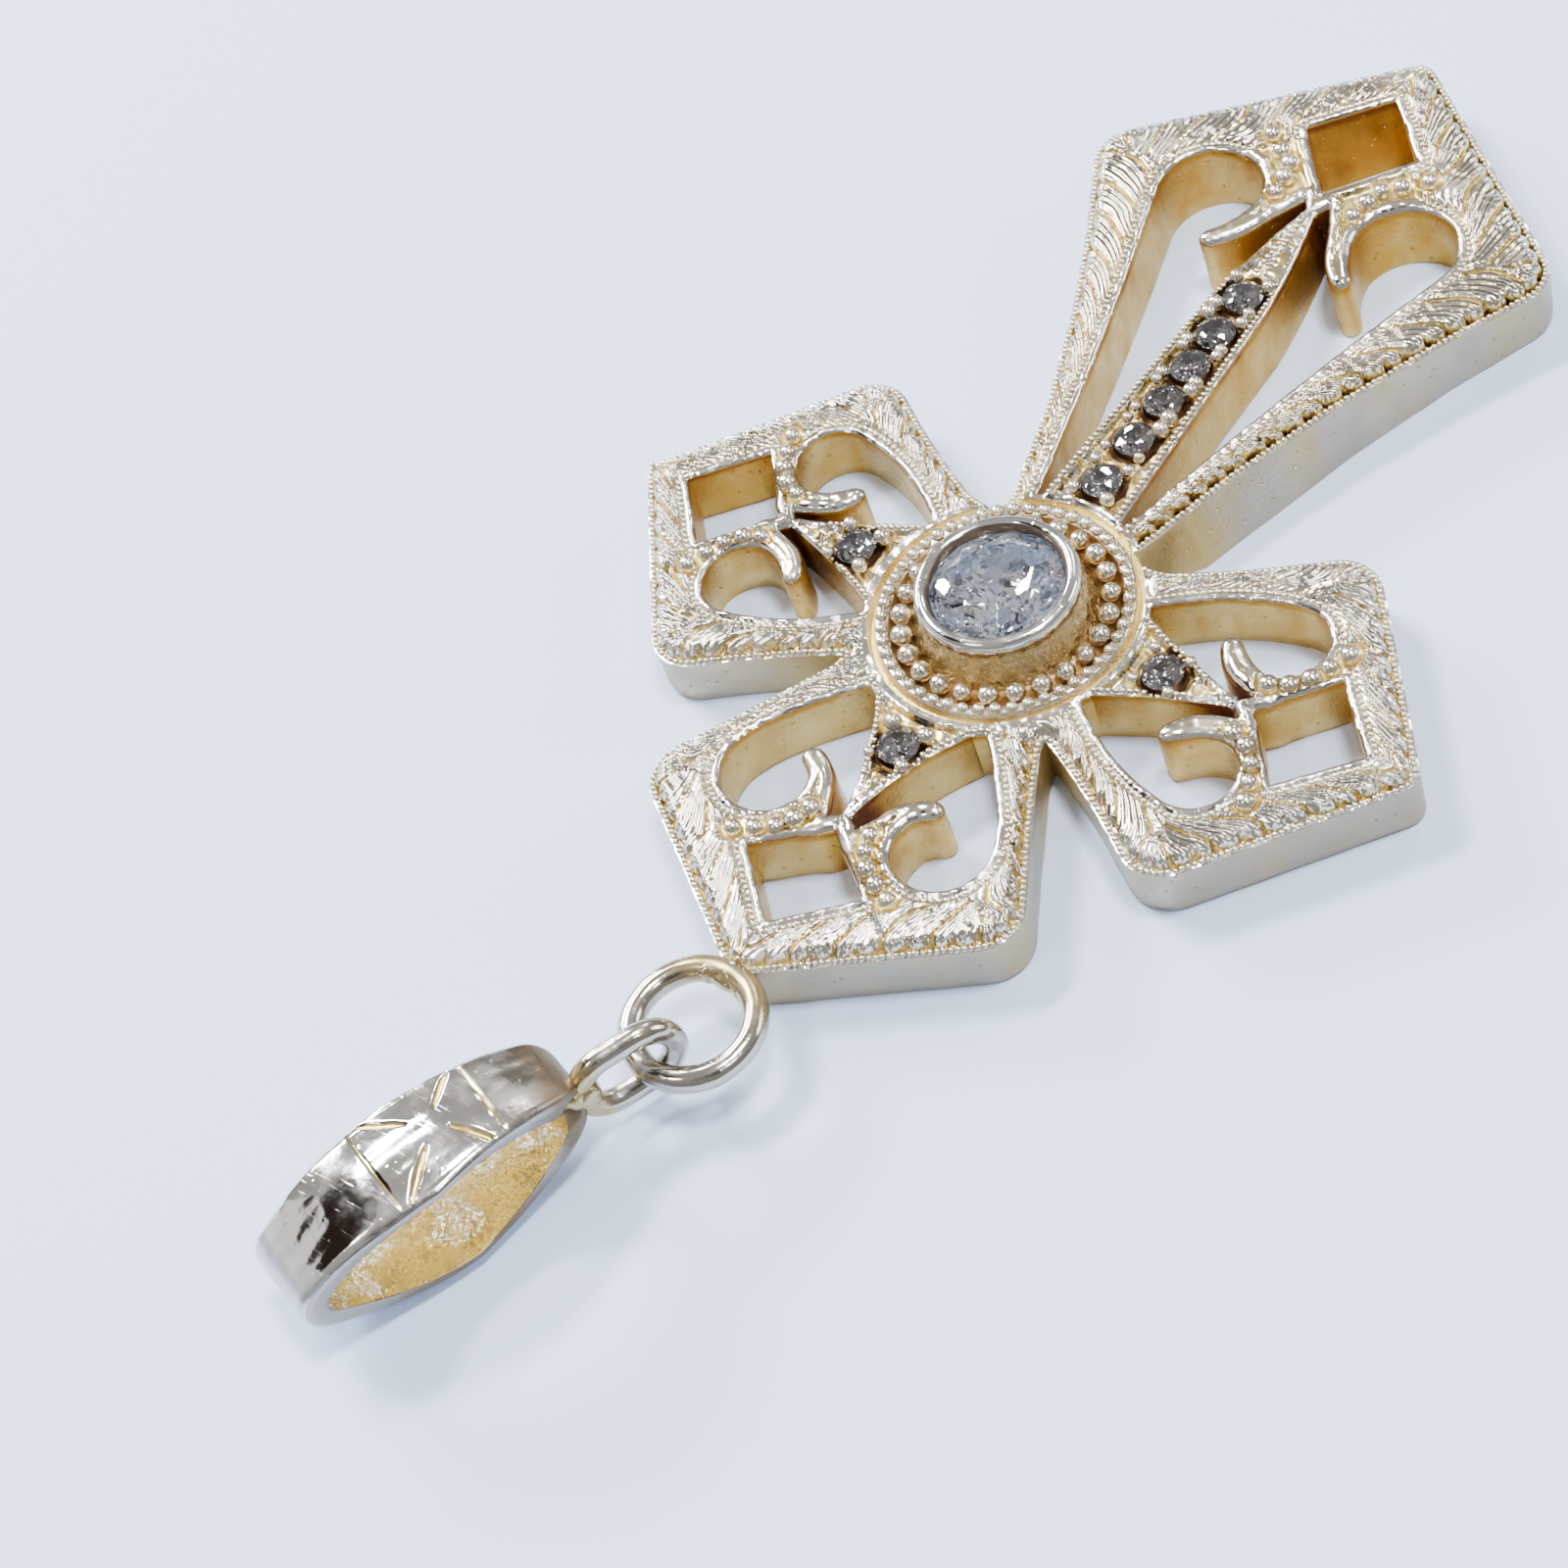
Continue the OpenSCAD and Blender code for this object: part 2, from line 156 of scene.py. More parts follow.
def wavy(points, length, seed):
    """Gentle unevenness between about -1 and 1, with waves of about the given length."""
    rng = np.random.default_rng(seed)
    total = np.zeros(len(points))
    for _ in range(10):
        direction = rng.normal(size=points.shape[1])
        direction *= 2 * math.pi / (length * rng.uniform(0.6, 1.6) * np.linalg.norm(direction))
        total += np.sin(points @ direction + rng.uniform(0, 2 * math.pi))
    return total / 4


def add_object(name, data):
    made = bpy.data.objects.new(name, data)
    bpy.context.scene.collection.objects.link(made)
    return made


def mesh_piece(name, points, faces, materials, face_material=None, sharp=50):
    """A mesh object from points in millimetres, smooth but for edges sharper than sharp degrees."""
    mesh = bpy.data.meshes.new(name)
    mesh.from_pydata(mm(points).tolist(), [], [list(f) for f in faces])
    for material in materials:
        mesh.materials.append(material)
    if face_material is not None:
        mesh.polygons.foreach_set("material_index", np.asarray(face_material, np.int32))
    mesh.polygons.foreach_set("use_smooth", np.ones(len(mesh.polygons), bool))
    mesh.update()
    mesh.set_sharp_from_angle(angle=math.radians(sharp))
    return add_object(name, mesh)


def point_values(piece, name, values):
    """Stores one number for each point of a piece, for its material to read."""
    attribute = piece.data.attributes.new(name, "FLOAT", "POINT")
    attribute.data.foreach_set("value", np.asarray(values, np.float32))


# Plan of the cross, read from the back of its solid
def back_outlines():
    """The closed outlines of the cross's flat back, largest first, in millimetres."""
    bm = bmesh.new()
    bm.from_mesh(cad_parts["cross"].data)
    bmesh.ops.remove_doubles(bm, verts=bm.verts, dist=2e-7)
    back = {f for f in bm.faces if all(abs(v.co.z) < 1e-7 for v in f.verts)}
    left = {e for e in bm.edges if sum(f in back for f in e.link_faces) == 1}
    at = {}
    for edge in left:
        for vert in edge.verts:
            at.setdefault(vert, []).append(edge)
    outlines = []
    for edge in sorted(left, key=lambda e: e.index):
        if edge not in left:
            continue
        left.discard(edge)
        walk = list(edge.verts)
        while True:
            following = [e for e in at[walk[-1]] if e in left]
            if not following:
                break
            left.discard(following[0])
            walk.append(following[0].other_vert(walk[-1]))
        outlines.append(np.array([(v.co.x / MM, v.co.y / MM) for v in walk[:-1]]))
    bm.free()
    return sorted((counter_clockwise(o) for o in outlines), key=area, reverse=True)


def area(outline):
    x, y = outline.T
    return float(np.sum(x * np.roll(y, -1) - np.roll(x, -1) * y) / 2)


def counter_clockwise(outline):
    return outline if area(outline) > 0 else outline[::-1]


def resampled(outline, step):
    """The outline with its sides cut into even parts of at most step."""
    points = []
    for a, b in zip(outline, np.roll(outline, -1, 0)):
        parts = max(1, math.ceil(np.linalg.norm(b - a) / step))
        points += [a + (b - a) * k / parts for k in range(parts)]
    return np.array(points)


def eased(outline, keep_angle=28, rounds=3, right_turns=0):
    """A resampled outline with its shallow bends smoothed and its true corners kept.

    Corners that turn right are smoothed too, up to right_turns degrees.
    """
    back = outline - np.roll(outline, 1, 0)
    ahead = np.roll(outline, -1, 0) - outline
    lengths = np.linalg.norm(back, axis=1) * np.linalg.norm(ahead, axis=1)
    turn = np.degrees(np.arccos(np.clip(np.sum(back * ahead, 1) / lengths, -1, 1)))
    rightward = back[:, 0] * ahead[:, 1] - back[:, 1] * ahead[:, 0] < 0
    free = ((turn < keep_angle) | (rightward & (turn < right_turns)))[:, None]
    for _ in range(rounds):
        middle = (np.roll(outline, 1, 0) + np.roll(outline, -1, 0)) / 2
        outline = np.where(free, outline * 0.5 + middle * 0.5, outline)
    return outline


def rightward_of(outline):
    """Unit steps to the right of an outline's run, at each of its points."""
    along = np.roll(outline, -1, 0) - np.roll(outline, 1, 0)
    along /= np.linalg.norm(along, axis=1)[:, None]
    return np.stack([along[:, 1], -along[:, 0]], 1)


def shifted(outline, distance):
    """The outline moved to its left by a distance."""
    return outline - rightward_of(outline) * distance


def circle(centre, radius, count):
    w = around(count)
    return np.stack([centre[0] + radius * np.cos(w), centre[1] + radius * np.sin(w)], 1)


def level_ring(radius, z, count, centre=(0, 0)):
    return np.column_stack([circle(centre, radius, count), np.full(count, z)])


def inside(points, outlines):
    """True where a point lies inside an odd number of the outlines."""
    odd = np.zeros(len(points), bool)
    for outline in outlines:
        for a, b in zip(outline, np.roll(outline, -1, 0)):
            if a[1] == b[1]:
                continue
            level = (points[:, 1] >= min(a[1], b[1])) & (points[:, 1] < max(a[1], b[1]))
            x = a[0] + (points[level, 1] - a[1]) * (b[0] - a[0]) / (b[1] - a[1])
            odd[level] ^= x > points[level, 0]
    return odd


class EdgeFinder:
    """Finds how far points are from a set of outlines, and where along them the nearest place is."""

    def __init__(self, outlines, step=0.04):
        self.place, self.along, self.run, self.lengths = [], [], [], []
        for outline in outlines:
            fine = resampled(outline, step)
            side = np.roll(fine, -1, 0) - np.roll(fine, 1, 0)
            gaps = np.linalg.norm(np.roll(fine, -1, 0) - fine, axis=1)
            self.place.append(fine)
            self.along.append(side / np.linalg.norm(side, axis=1)[:, None])
            self.run.append(np.concatenate([[0], np.cumsum(gaps)[:-1]]))
            self.lengths.append(gaps.sum())
        self.place, self.along, self.run = (np.concatenate(v) for v in (self.place, self.along, self.run))
        self.tree = kdtree.KDTree(len(self.place))
        for k, (x, y) in enumerate(self.place):
            self.tree.insert((x, y, 0), k)
        self.tree.balance()

    def nearest(self, points):
        """Distance to the outlines, the number of the nearest sample and the run at the foot."""
        index = np.array([self.tree.find((x, y, 0))[1] for x, y in points])
        offset, along = points - self.place[index], self.along[index]
        slide = np.sum(offset * along, 1)
        beside = np.abs(offset[:, 0] * along[:, 1] - offset[:, 1] * along[:, 0])
        distance = np.where(np.abs(slide) > SAMPLE_REACH, np.linalg.norm(offset, axis=1), beside)
        return distance, index, self.run[index] + np.clip(slide, -SAMPLE_REACH, SAMPLE_REACH)


def arm_of(points):
    """Turn of the arm that each point belongs to: 0 up, 180 down, -90 and 90 to the sides."""
    x, y = points.T
    long_arm = (y < 0) & (np.abs(x) < -y * math.tan(math.radians(LONG_ARM_SHARE)))
    top = (y > 0) & (np.abs(x) < y)
    return np.select([top, long_arm, x > 0], [0, 180, -90], 90)


def arm_coordinates(points, turn):
    """Distance across and along the arm of each point."""
    w = np.radians(turn)
    x, y = points.T
    return x * np.cos(w) + y * np.sin(w), -x * np.sin(w) + y * np.cos(w)


def on_arm(points):
    """Turn of the arm that each point belongs to, and its distance across and along that arm."""
    turn = arm_of(points)
    return turn, *arm_coordinates(points, turn)


def bezier(a, b, c, count):
    t = np.linspace(0, 1, count)[:, None]
    return (1 - t) ** 2 * np.array(a) + 2 * t * (1 - t) * np.array(b) + t ** 2 * np.array(c)


def spike_half_width(turn, along):
    """Half width of the spike of each arm at a distance from the centre, 0 past its point."""
    width = np.zeros(len(along))
    for arm, (point, pull, foot) in SPIKES.items():
        side = bezier(point, pull, foot, 12)[::-1]
        if arm == 180:
            side = np.concatenate([[RIB_FOOT], side])
        of_arm = turn == arm
        width[of_arm] = np.interp(along[of_arm], side[:, 1], side[:, 0], right=0)
        width[of_arm & (along > point[1] + 0.1)] = 0
    return width


def run_from_tip(index, run):
    """Distance along the outer edge from the tip of the arm that the edge belongs to."""
    result = np.zeros(len(run))
    for turn in SPIKES:
        along = arm_coordinates(outer_edge.place, np.full(len(outer_edge.place), turn))[1]
        tip = np.argmax(np.where(outer_arm == turn, along, -1))
        gap = np.abs(run - outer_edge.run[tip])
        gap = np.minimum(gap, outer_edge.lengths[0] - gap)
        result = np.where(outer_arm[index] == turn, gap, result)
    return result


def leaf_border(points, to_edge, to_hole, index, run):
    """Height of the border leaves, how hollow their gaps are, the leaf count and where ridges run."""
    tip_run = run_from_tip(index, run) + 0.06 * wavy(points, 1.8, 3)
    band = np.clip(to_edge + to_hole - BEAD_LINE - 0.1, 0.7, 2.1)
    depth = np.clip(to_edge / band, 0, 1.3)
    phase = (tip_run - LEAF_PITCH * (0.15 * depth + 1.0 * depth ** 2)) / LEAF_PITCH
    part = phase - np.floor(phase)
    body = np.clip(1 - np.abs(2 * part - 1) ** 5.5, 0, 1)
    gap = 1 - smooth_step(0.1, 0.75, body)
    veins = sum(np.exp(-((part - at) / 0.035) ** 2) for at in VEINS_AT)
    lobe = np.abs(2 * ((2 * part) % 1) - 1)
    starts = 0.2 + 0.2 * lobe ** 2.6
    outer_end = smooth_step(starts - 0.03, starts + 0.06, to_edge)
    inner_end = smooth_step(BEAD_LINE + 0.05, BEAD_LINE + 0.18, to_hole)
    notch = (1 - outer_end) * smooth_step(0.16, 0.21, to_edge)
    # The notches on the near side of the long arm are cut deepest and coloured darkest, as painted shade in
    # their gaps
    deep_notches = (arm_of(points) == 180) & (points[:, 0] < 0)
    notch *= np.where(deep_notches, 1.0, 0.4 + 0.2 * wavy(points, 3.0, 22))
    top = LEAF_H * (1 - 0.75 * gap) * (1 + 0.3 * (part - 0.5))
    top -= VEIN_DEPTH * veins * smooth_step(0.15, 0.5, depth)
    on_leaf = outer_end * inner_end
    height = top * on_leaf - NOTCH_DEPTH * notch - 0.05
    # Brown in the notches is painted shade; golden between the leaves is gilding
    hollow = np.maximum(0.75 * gap * inner_end, 1.45 * notch) + 0.15 * veins * on_leaf
    return height, hollow, phase, on_leaf * (1 - gap)


def scroll_top(to_hole):
    """Height of the round hooks and of the sunken roots between the holes."""
    dome = 0.14 * (1 - (1 - np.clip(to_hole / 0.32, 0, 1)) ** 2) - 0.03
    root = smooth_step(0.34, 0.48, to_hole)
    return dome * (1 - root) - 0.06 * root, 0.8 * root


def spike_top(points, turn, across, along, spike_w):
    """Height of the spikes: beaded edges, a sunken channel, and a folded leaf at the point."""
    from_boss = from_middle(points) - BOSS_R - 0.02
    in_spike = np.minimum(spike_w - np.abs(across), from_boss)
    folded = np.where(turn == 180, smooth_step(*LONG_FOLD, along), smooth_step(*SHORT_FOLD, along))
    channel = 0.06 - 0.2 * smooth_step(0.2, 0.3, in_spike)
    ridge = 0.12 - 0.26 * np.abs(across) / np.maximum(spike_w, 0.2)
    rim = np.where(in_spike < 0.17, 0.05, ridge)
    height = channel * (1 - folded) + rim * folded - 0.07 * (1 - smooth_step(0, 0.1, in_spike))
    height += 0.025 * wavy(points, 0.3, 19) * folded * smooth_step(0.12, 0.2, in_spike)
    hollow = (0.55 - 0.2 * folded + 0.45 * wavy(points, 0.5, 6)) * smooth_step(0.16, 0.26, in_spike)
    return height, hollow


def relief(points):
    """Height above the plate's level, hollowness, leaf count and ridges of points on the top face."""
    to_edge, index, run = outer_edge.nearest(points)
    to_hole, _, _ = hole_edges.nearest(points)
    turn, across, along = on_arm(points)
    from_axis = from_middle(points)
    spike_w = spike_half_width(turn, along)
    on_spike = (np.abs(across) < spike_w + 0.03) & (along < LONG_SPIKE_END)

    slope = -EDGE_DROP * (1 - smooth_step(0, EDGE_SLOPE_W, to_edge))
    in_border = 1 - smooth_step(BORDER_W - 0.2, BORDER_W, to_edge)
    by_boss = smooth_step(BOSS_R + 0.1, BOSS_R + 0.35, from_axis)
    leaves, leaf_hollow, phase, ridged = leaf_border(points, to_edge, to_hole, index, run)
    scroll, scroll_hollow = scroll_top(to_hole)
    height = leaves * in_border * by_boss + scroll * (1 - in_border)
    hollow = leaf_hollow * in_border * by_boss + scroll_hollow * (1 - in_border)
    lip = 1 - smooth_step(LIP_W, LIP_W + 0.05, to_hole)
    height = slope + height * (1 - lip * in_border) + 0.03 * lip * in_border
    height -= 0.07 * (1 - smooth_step(0, 0.09, to_hole))
    by_beads = np.exp(-((to_hole - BEAD_LINE - 0.03) / 0.1) ** 2)
    by_beads += np.exp(-((to_edge - 0.14) / 0.08) ** 2)
    hollow = np.maximum(hollow, 0.32 * by_beads) * (1 - lip)

    # Sunken golden beds round the grains
    bed = 1 - smooth_step(0.32, 0.44, from_grains(points))
    bed *= smooth_step(LIP_W, LIP_W + 0.05, to_hole)
    height = height * (1 - bed) - BED_DEPTH * bed
    hollow = np.maximum(hollow, 0.85 * bed) + 0.08 * (turn == 180)

    spiked, spike_hollow = spike_top(points, turn, across, along, spike_w)
    height = np.where(on_spike, spiked, height)
    hollow = np.where(on_spike, spike_hollow, hollow)
    ridged = np.where(on_spike, 0, ridged * in_border * by_boss * (1 - lip) * (1 - bed))
    # Sunken places round the small stones, with a cone under each
    for seat in SEATS.values():
        r = from_middle(points, seat)
        pit = 1 - smooth_step(SEAT_R + 0.06, SEAT_R + 0.2, r)
        height = height * (1 - pit) - PIT_DEPTH * pit
        height = np.where(r < SEAT_R - 0.02, -0.18 - (SEAT_R - r) * 0.9, height)
        stain = 1 - smooth_step(SEAT_R + 0.12, SEAT_R + 0.34, r + 0.06 * wavy(points, 0.4, 21))
        hollow = np.maximum(hollow, 1.25 * stain)
    groove = (from_axis < BOSS_R - 0.03) | ((from_axis < BOSS_R + 0.06) & (to_edge < 0.1))
    height = np.where(groove, GROOVE_Z - PLATE_T, height + 0.014 * wavy(points, 0.5, 5))
    return height, np.where(groove, 0.5, hollow), phase, ridged


def smoothed_round(values, kernel):
    """Values round a closed outline, each averaged with its neighbours by the kernel."""
    reach = len(kernel) // 2
    return np.convolve(np.concatenate([values[-reach:], values, values[:reach]]), kernel, "valid")


def thickened(holes):
    """The hole outlines drawn in a little where they leave a hook thinner than it should be."""
    fine = [resampled(o, 0.05) for o in holes]
    metal_side = [rightward_of(o) for o in fine]
    place, facing = np.concatenate(fine), np.concatenate(metal_side)
    result = []
    for outline, normal in zip(fine, metal_side):
        turn, across, along = on_arm(outline)
        on_spike = np.abs(across) < spike_half_width(turn, along) + 0.12
        thin, room = np.full(len(outline), 9.0), np.full(len(outline), 9.0)
        for k, (point, out) in enumerate(zip(outline, normal)):
            offset = place - point
            length = np.linalg.norm(offset, axis=1)
            beyond = (length > 0.05) & (length < 0.7) & (offset @ out > 0.85 * length)
            beyond &= facing @ out < -0.5
            if beyond.any():
                thin[k] = length[beyond].min()
            ahead = (length < 0.7) & (offset @ out < -0.7 * length) & (length > 0.08)
            if ahead.any():
                room[k] = length[ahead].min()
        pull = np.where(on_spike, 0, 0.16 * (1 - smooth_step(0.34, 0.72, thin)))
        pull = np.max([np.roll(pull, k) for k in range(-6, 7)], 0) * (1 - on_spike)
        pull = smoothed_round(pull, np.ones(9) / 9)
        pull = np.minimum(pull, 0.3 * np.min([np.roll(room, k) for k in range(-4, 5)], 0))
        # The ends of the hooks are round, the points of the spikes aren't
        drawn_in = outline - normal * pull[:, None]
        rounded = eased(drawn_in, rounds=14, right_turns=130)
        result.append(np.where(on_spike[:, None], drawn_in, rounded))
    return result


outlines = back_outlines()
OUTER, HOLES = outlines[0], thickened(outlines[1:])
outer_edge = EdgeFinder([OUTER])
hole_edges = EdgeFinder(HOLES)
outer_arm = arm_of(outer_edge.place)
SEATS = {name: np.mean(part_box(name), 0)[:2] / MM for name in sorted(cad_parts) if "_stone_" in name}


def grain_places():
    """Places of the scroll grains, moved off the edges of the holes."""
    places = []
    for turn in SPIKES:
        grains = np.array(LONG_GRAINS if turn == 180 else SHORT_GRAINS)
        places += [turned(grains * (side, 1), turn) for side in (-1, 1)]
    places = np.concatenate(places)
    for _ in range(4):
        distance, index, _ = hole_edges.nearest(places)
        away = places - hole_edges.place[index]
        away /= np.linalg.norm(away, axis=1)[:, None]
        places += away * 0.6 * np.maximum(GRAIN_OFF_HOLE - distance, 0)[:, None]
    return places


GRAINS_AT = grain_places()


def from_grains(points):
    """Distance of points in plan from the nearest scroll grain."""
    return np.min([from_middle(points, grain) for grain in GRAINS_AT], 0)


def wall_stain(points):
    """How dark the gilding is on the walls of the holes: most in the long square and by the points."""
    turn, across, along = on_arm(points[:, :2])
    across = np.abs(across)
    square = (turn == 180) & (along > 17.2) & (across + np.abs(along - LONG_SQUARE_AT) < 2.35)
    short_square = (turn == -90) & (along > 7.9) & (across + np.abs(along - SHORT_SQUARE_AT) < 2.2)
    point = np.array([SPIKES[int(t)][0][1] for t in turn])
    reach = np.where(turn == 180, 1.6, 0.6)
    wedge = np.exp(-(across ** 2 + (along - point + 0.3) ** 2) / reach)
    oxide = 0.5 * smooth_step(0.85, 0.94, points[:, 2] / PLATE_T) * (1 + 0.6 * wavy(points, 2.0, 14))
    streaks = 0.13 * np.maximum(wavy(points * (1, 1, 0.4), 0.8, 16), 0) + 0.1 * wavy(points, 2.2, 18)
    stain = np.maximum(0.5 * square + 0.3 * short_square, 1.15 * wedge)
    return stain + 0.04 * (turn == 180) + streaks + oxide


def wall_draft(rim, to_air):
    """How far the foot of the outer wall stands out beside the long arm."""
    turn, _, along = on_arm(rim)
    most = np.interp(along, (5, 7, 20), (0.72, 0.72, -0.28)) * (turn == 180)
    draft = most * np.clip(to_air @ TO_CAMERA, 0, 1) ** 0.7
    draft = smoothed_round(draft, np.hanning(17) / np.hanning(17).sum())
    for k in np.flatnonzero(draft > 0.01):
        other_way = to_air @ to_air[k] < 0.5
        draft[k] = min(draft[k], 0.4 * np.linalg.norm(rim[other_way] - rim[k], axis=1).min())
    return draft[:, None] * to_air


def hole_draft(rim):
    """How the foot of a hole's walls moves in the long arm, where the holes narrow toward the back."""
    turn, across, _ = on_arm(rim.mean(0)[None])
    most = 0 if turn[0] != 180 else 1.0 if abs(across[0]) < 0.5 else 0.45
    share = rim @ TO_CAMERA
    share = (share.max() - share) / (share.max() - share.min())
    return most * share[:, None] * TO_CAMERA


def triangulated(rings, loose=()):
    """Points and triangles between closed rings and loose points of a plan, and what each came from."""
    points, edges = [], []
    for ring in rings:
        start = len(points)
        points += ring.tolist()
        edges += [(start + k, start + (k + 1) % len(ring)) for k in range(len(ring))]
    flat, _, triangles, origins, _, _ = geometry.delaunay_2d_cdt(
        [Vector(p) for p in [*points, *loose]], edges, [], 0, 1e-6)
    return np.array(flat), np.array(triangles), origins


def top_plan(rims):
    """The top face in plan, with a fine even grid for the relief."""
    rings = [circle((0, 0), BOSS_R - 0.02, 300), circle((0, 0), BOSS_OPENING_R, 300)]
    rings += [circle(seat, r, 44) for seat in SEATS.values() for r in (SEAT_R, SEAT_R - 0.03)]
    low, high = OUTER.min(0), OUTER.max(0)
    grid = []
    for k, y in enumerate(np.arange(low[1], high[1], RELIEF_STEP * math.sqrt(3) / 2)):
        xs = np.arange(low[0] + (k % 2) * RELIEF_STEP / 2, high[0], RELIEF_STEP)
        grid.append(np.stack([xs, np.full_like(xs, y)], 1))
    grid = np.concatenate(grid)
    grid = grid[inside(grid, rims)]
    to_edges = np.minimum(outer_edge.nearest(grid)[0], hole_edges.nearest(grid)[0])
    clear = (to_edges > RELIEF_STEP * 0.55) & (from_middle(grid) > BOSS_R + 0.02)
    for seat in SEATS.values():
        clear &= from_middle(grid, seat) > SEAT_R + RELIEF_STEP * 0.5
    flat, triangles, origins = triangulated(rims + rings, [*SEATS.values(), *grid[clear]])
    middles = flat[triangles].mean(1)
    return flat, triangles[inside(middles, rims) & (from_middle(middles) > BOSS_OPENING_R)], origins


def wall_rings(rim, rim_z, is_outer):
    """Rings of points down a wall, from just under its rim to the back."""
    outward = rightward_of(rim)
    draft = wall_draft(rim, outward) if is_outer else hole_draft(rim)
    for level in (0.96, 0.86, 0.55, 0.25, 0.08, 0.0):
        z = rim_z * level
        push = 0.012 * wavy(np.column_stack([rim, z]), 1.1, 8) if 0 < level < 0.9 else 0 * z
        if level == 0:
            push = push + (-0.04 if is_outer else 0.04)
        yield np.column_stack([rim + outward * push[:, None] + draft * (1 - level), z])


def cross_plate(materials):
    """The pierced plate: relief on top, walls round every outline, and the flat back."""
    rims = [eased(resampled(o, 0.085)) for o in [OUTER, *HOLES]]
    flat, triangles, origins = top_plan(rims)
    new_place = {old: new for new, olds in enumerate(origins) for old in olds}
    height, hollow, phase, ridged = relief(flat)
    verts, faces = [np.column_stack([flat, PLATE_T + height])], triangles.tolist()
    kinds = [0] * len(faces)
    count, start = len(flat), 0
    wall_points, side_points, back_rims = [], [], []
    for rim in rims:
        is_outer, n = rim is rims[0], len(rim)
        above = [new_place[start + k] for k in range(n)]
        start += n
        for ring in wall_rings(rim, PLATE_T + height[above], is_outer):
            verts.append(ring)
            below = list(range(count, count + n))
            (side_points if is_outer else wall_points).extend(below)
            count += n
            for k in range(n):
                quad = [above[k], below[k], below[(k + 1) % n], above[(k + 1) % n]]
                faces.append(quad if is_outer else quad[::-1])
            kinds += [2 if is_outer else 1] * n
            above = below
        back_rims.append(above)
    verts = np.concatenate(verts)

    back_plans = [verts[ring][:, :2] for ring in back_rims]
    _, back_faces, origins = triangulated(back_plans)
    back_ids = np.concatenate(back_rims)
    back_faces = back_ids[[olds[0] for olds in origins]][back_faces]
    back_faces = back_faces[inside(verts[back_faces][:, :, :2].mean(1), back_plans)]
    faces += back_faces[:, ::-1].tolist()
    kinds += [3] * len(back_faces)
    piece = mesh_piece("cross_plate", verts, faces, materials, kinds)

    near_boss = from_middle(verts[side_points][:, :2]) - BOSS_R
    rest = np.zeros(len(verts) - len(flat))
    for name, values in (("hollow", hollow), ("leaf_count", phase), ("ridged", ridged)):
        whole = np.concatenate([values, rest])
        if name == "hollow":
            whole[wall_points] = wall_stain(verts[wall_points])
            whole[side_points] = 0.75 * np.exp(-(near_boss / 2.2) ** 2)
            whole[side_points] += 0.12 * wavy(verts[side_points], 2.5, 31)
        point_values(piece, name, whole)
    return piece


def row_mesh(name, rows):
    """A mesh of open or closed rows of points in millimetres, for beads to follow."""
    points, edges = [], []
    for row, closed in rows:
        start = len(points)
        points += row.tolist()
        edges += [(start + k, start + k + 1) for k in range(len(row) - 1)]
        if closed:
            edges.append((start + len(row) - 1, start))
    mesh = bpy.data.meshes.new(name)
    mesh.from_pydata(mm(points).tolist(), edges, [])
    return add_object(name, mesh)


def node(tree, kind, inputs=None, **settings):
    """Adds a node, sets its choices, and links or fills its inputs by name or number."""
    made = tree.nodes.new(kind)
    for name, value in settings.items():
        setattr(made, name, value)
    for name, value in (inputs or {}).items():
        if isinstance(value, bpy.types.NodeSocket):
            tree.links.new(value, made.inputs[name])
        else:
            made.inputs[name].default_value = value
    return made


def new_group(kind, name, inputs, outputs):
    """An empty node group; each input is its name, kind and default value, if it has one."""
    tree = bpy.data.node_groups.new(name, kind)
    for label, value_kind, *default in inputs:
        made = tree.interface.new_socket(label, in_out="INPUT", socket_type="NodeSocket" + value_kind)
        if default:
            made.default_value = default[0]
    for label, value_kind in outputs:
        tree.interface.new_socket(label, in_out="OUTPUT", socket_type="NodeSocket" + value_kind)
    return tree, tree.nodes.new("NodeGroupInput").outputs


def bead_tree(name, along_rows):
    """Beads along rows at an even pitch, or on single points: slightly uneven low domes."""
    tree, given = new_group("GeometryNodeTree", name, [
        ("Geometry", "Geometry"), ("Pitch", "Float", 0.0002), ("Bead radius", "Float", 0.0001),
        ("Flattening", "Float", 0.8), ("Unevenness", "Float", 0.1), ("Sides", "Int", 8),
        ("Seed", "Int", 1), ("Metal", "Material")], [("Geometry", "Geometry")])
    places = given["Geometry"]
    if along_rows:
        curve = node(tree, "GeometryNodeMeshToCurve", {"Mesh": places})
        places = node(tree, "GeometryNodeResampleCurve",
                      {"Curve": curve.outputs[0], "Length": given["Pitch"]}, mode="LENGTH").outputs[0]
    rings = node(tree, "FunctionNodeIntegerMath", {0: given["Sides"], 1: 2}, operation="DIVIDE")
    ball = node(tree, "GeometryNodeMeshUVSphere",
                {"Segments": given["Sides"], "Rings": rings.outputs[0], "Radius": 1.0})
    low = maths(tree, "SUBTRACT", 1.0, given["Unevenness"])
    high = maths(tree, "ADD", 1.0, given["Unevenness"])
    chance = node(tree, "FunctionNodeRandomValue", {2: low, 3: high, "Seed": given["Seed"]},
                  data_type="FLOAT")
    size = maths(tree, "MULTIPLY", chance.outputs[1], given["Bead radius"])
    tall = maths(tree, "MULTIPLY", size, given["Flattening"])
    scale = node(tree, "ShaderNodeCombineXYZ", {0: size, 1: size, 2: tall})
    made = node(tree, "GeometryNodeInstanceOnPoints",
                {"Points": places, "Instance": ball.outputs[0], "Scale": scale.outputs[0]})
    for kind in ("GeometryNodeRealizeInstances", "GeometryNodeSetShadeSmooth", "GeometryNodeSetMaterial"):
        made = node(tree, kind, {"Geometry": made.outputs[0]})
    tree.links.new(given["Metal"], made.inputs["Material"])
    node(tree, "NodeGroupOutput", {"Geometry": made.outputs[0]})
    return tree


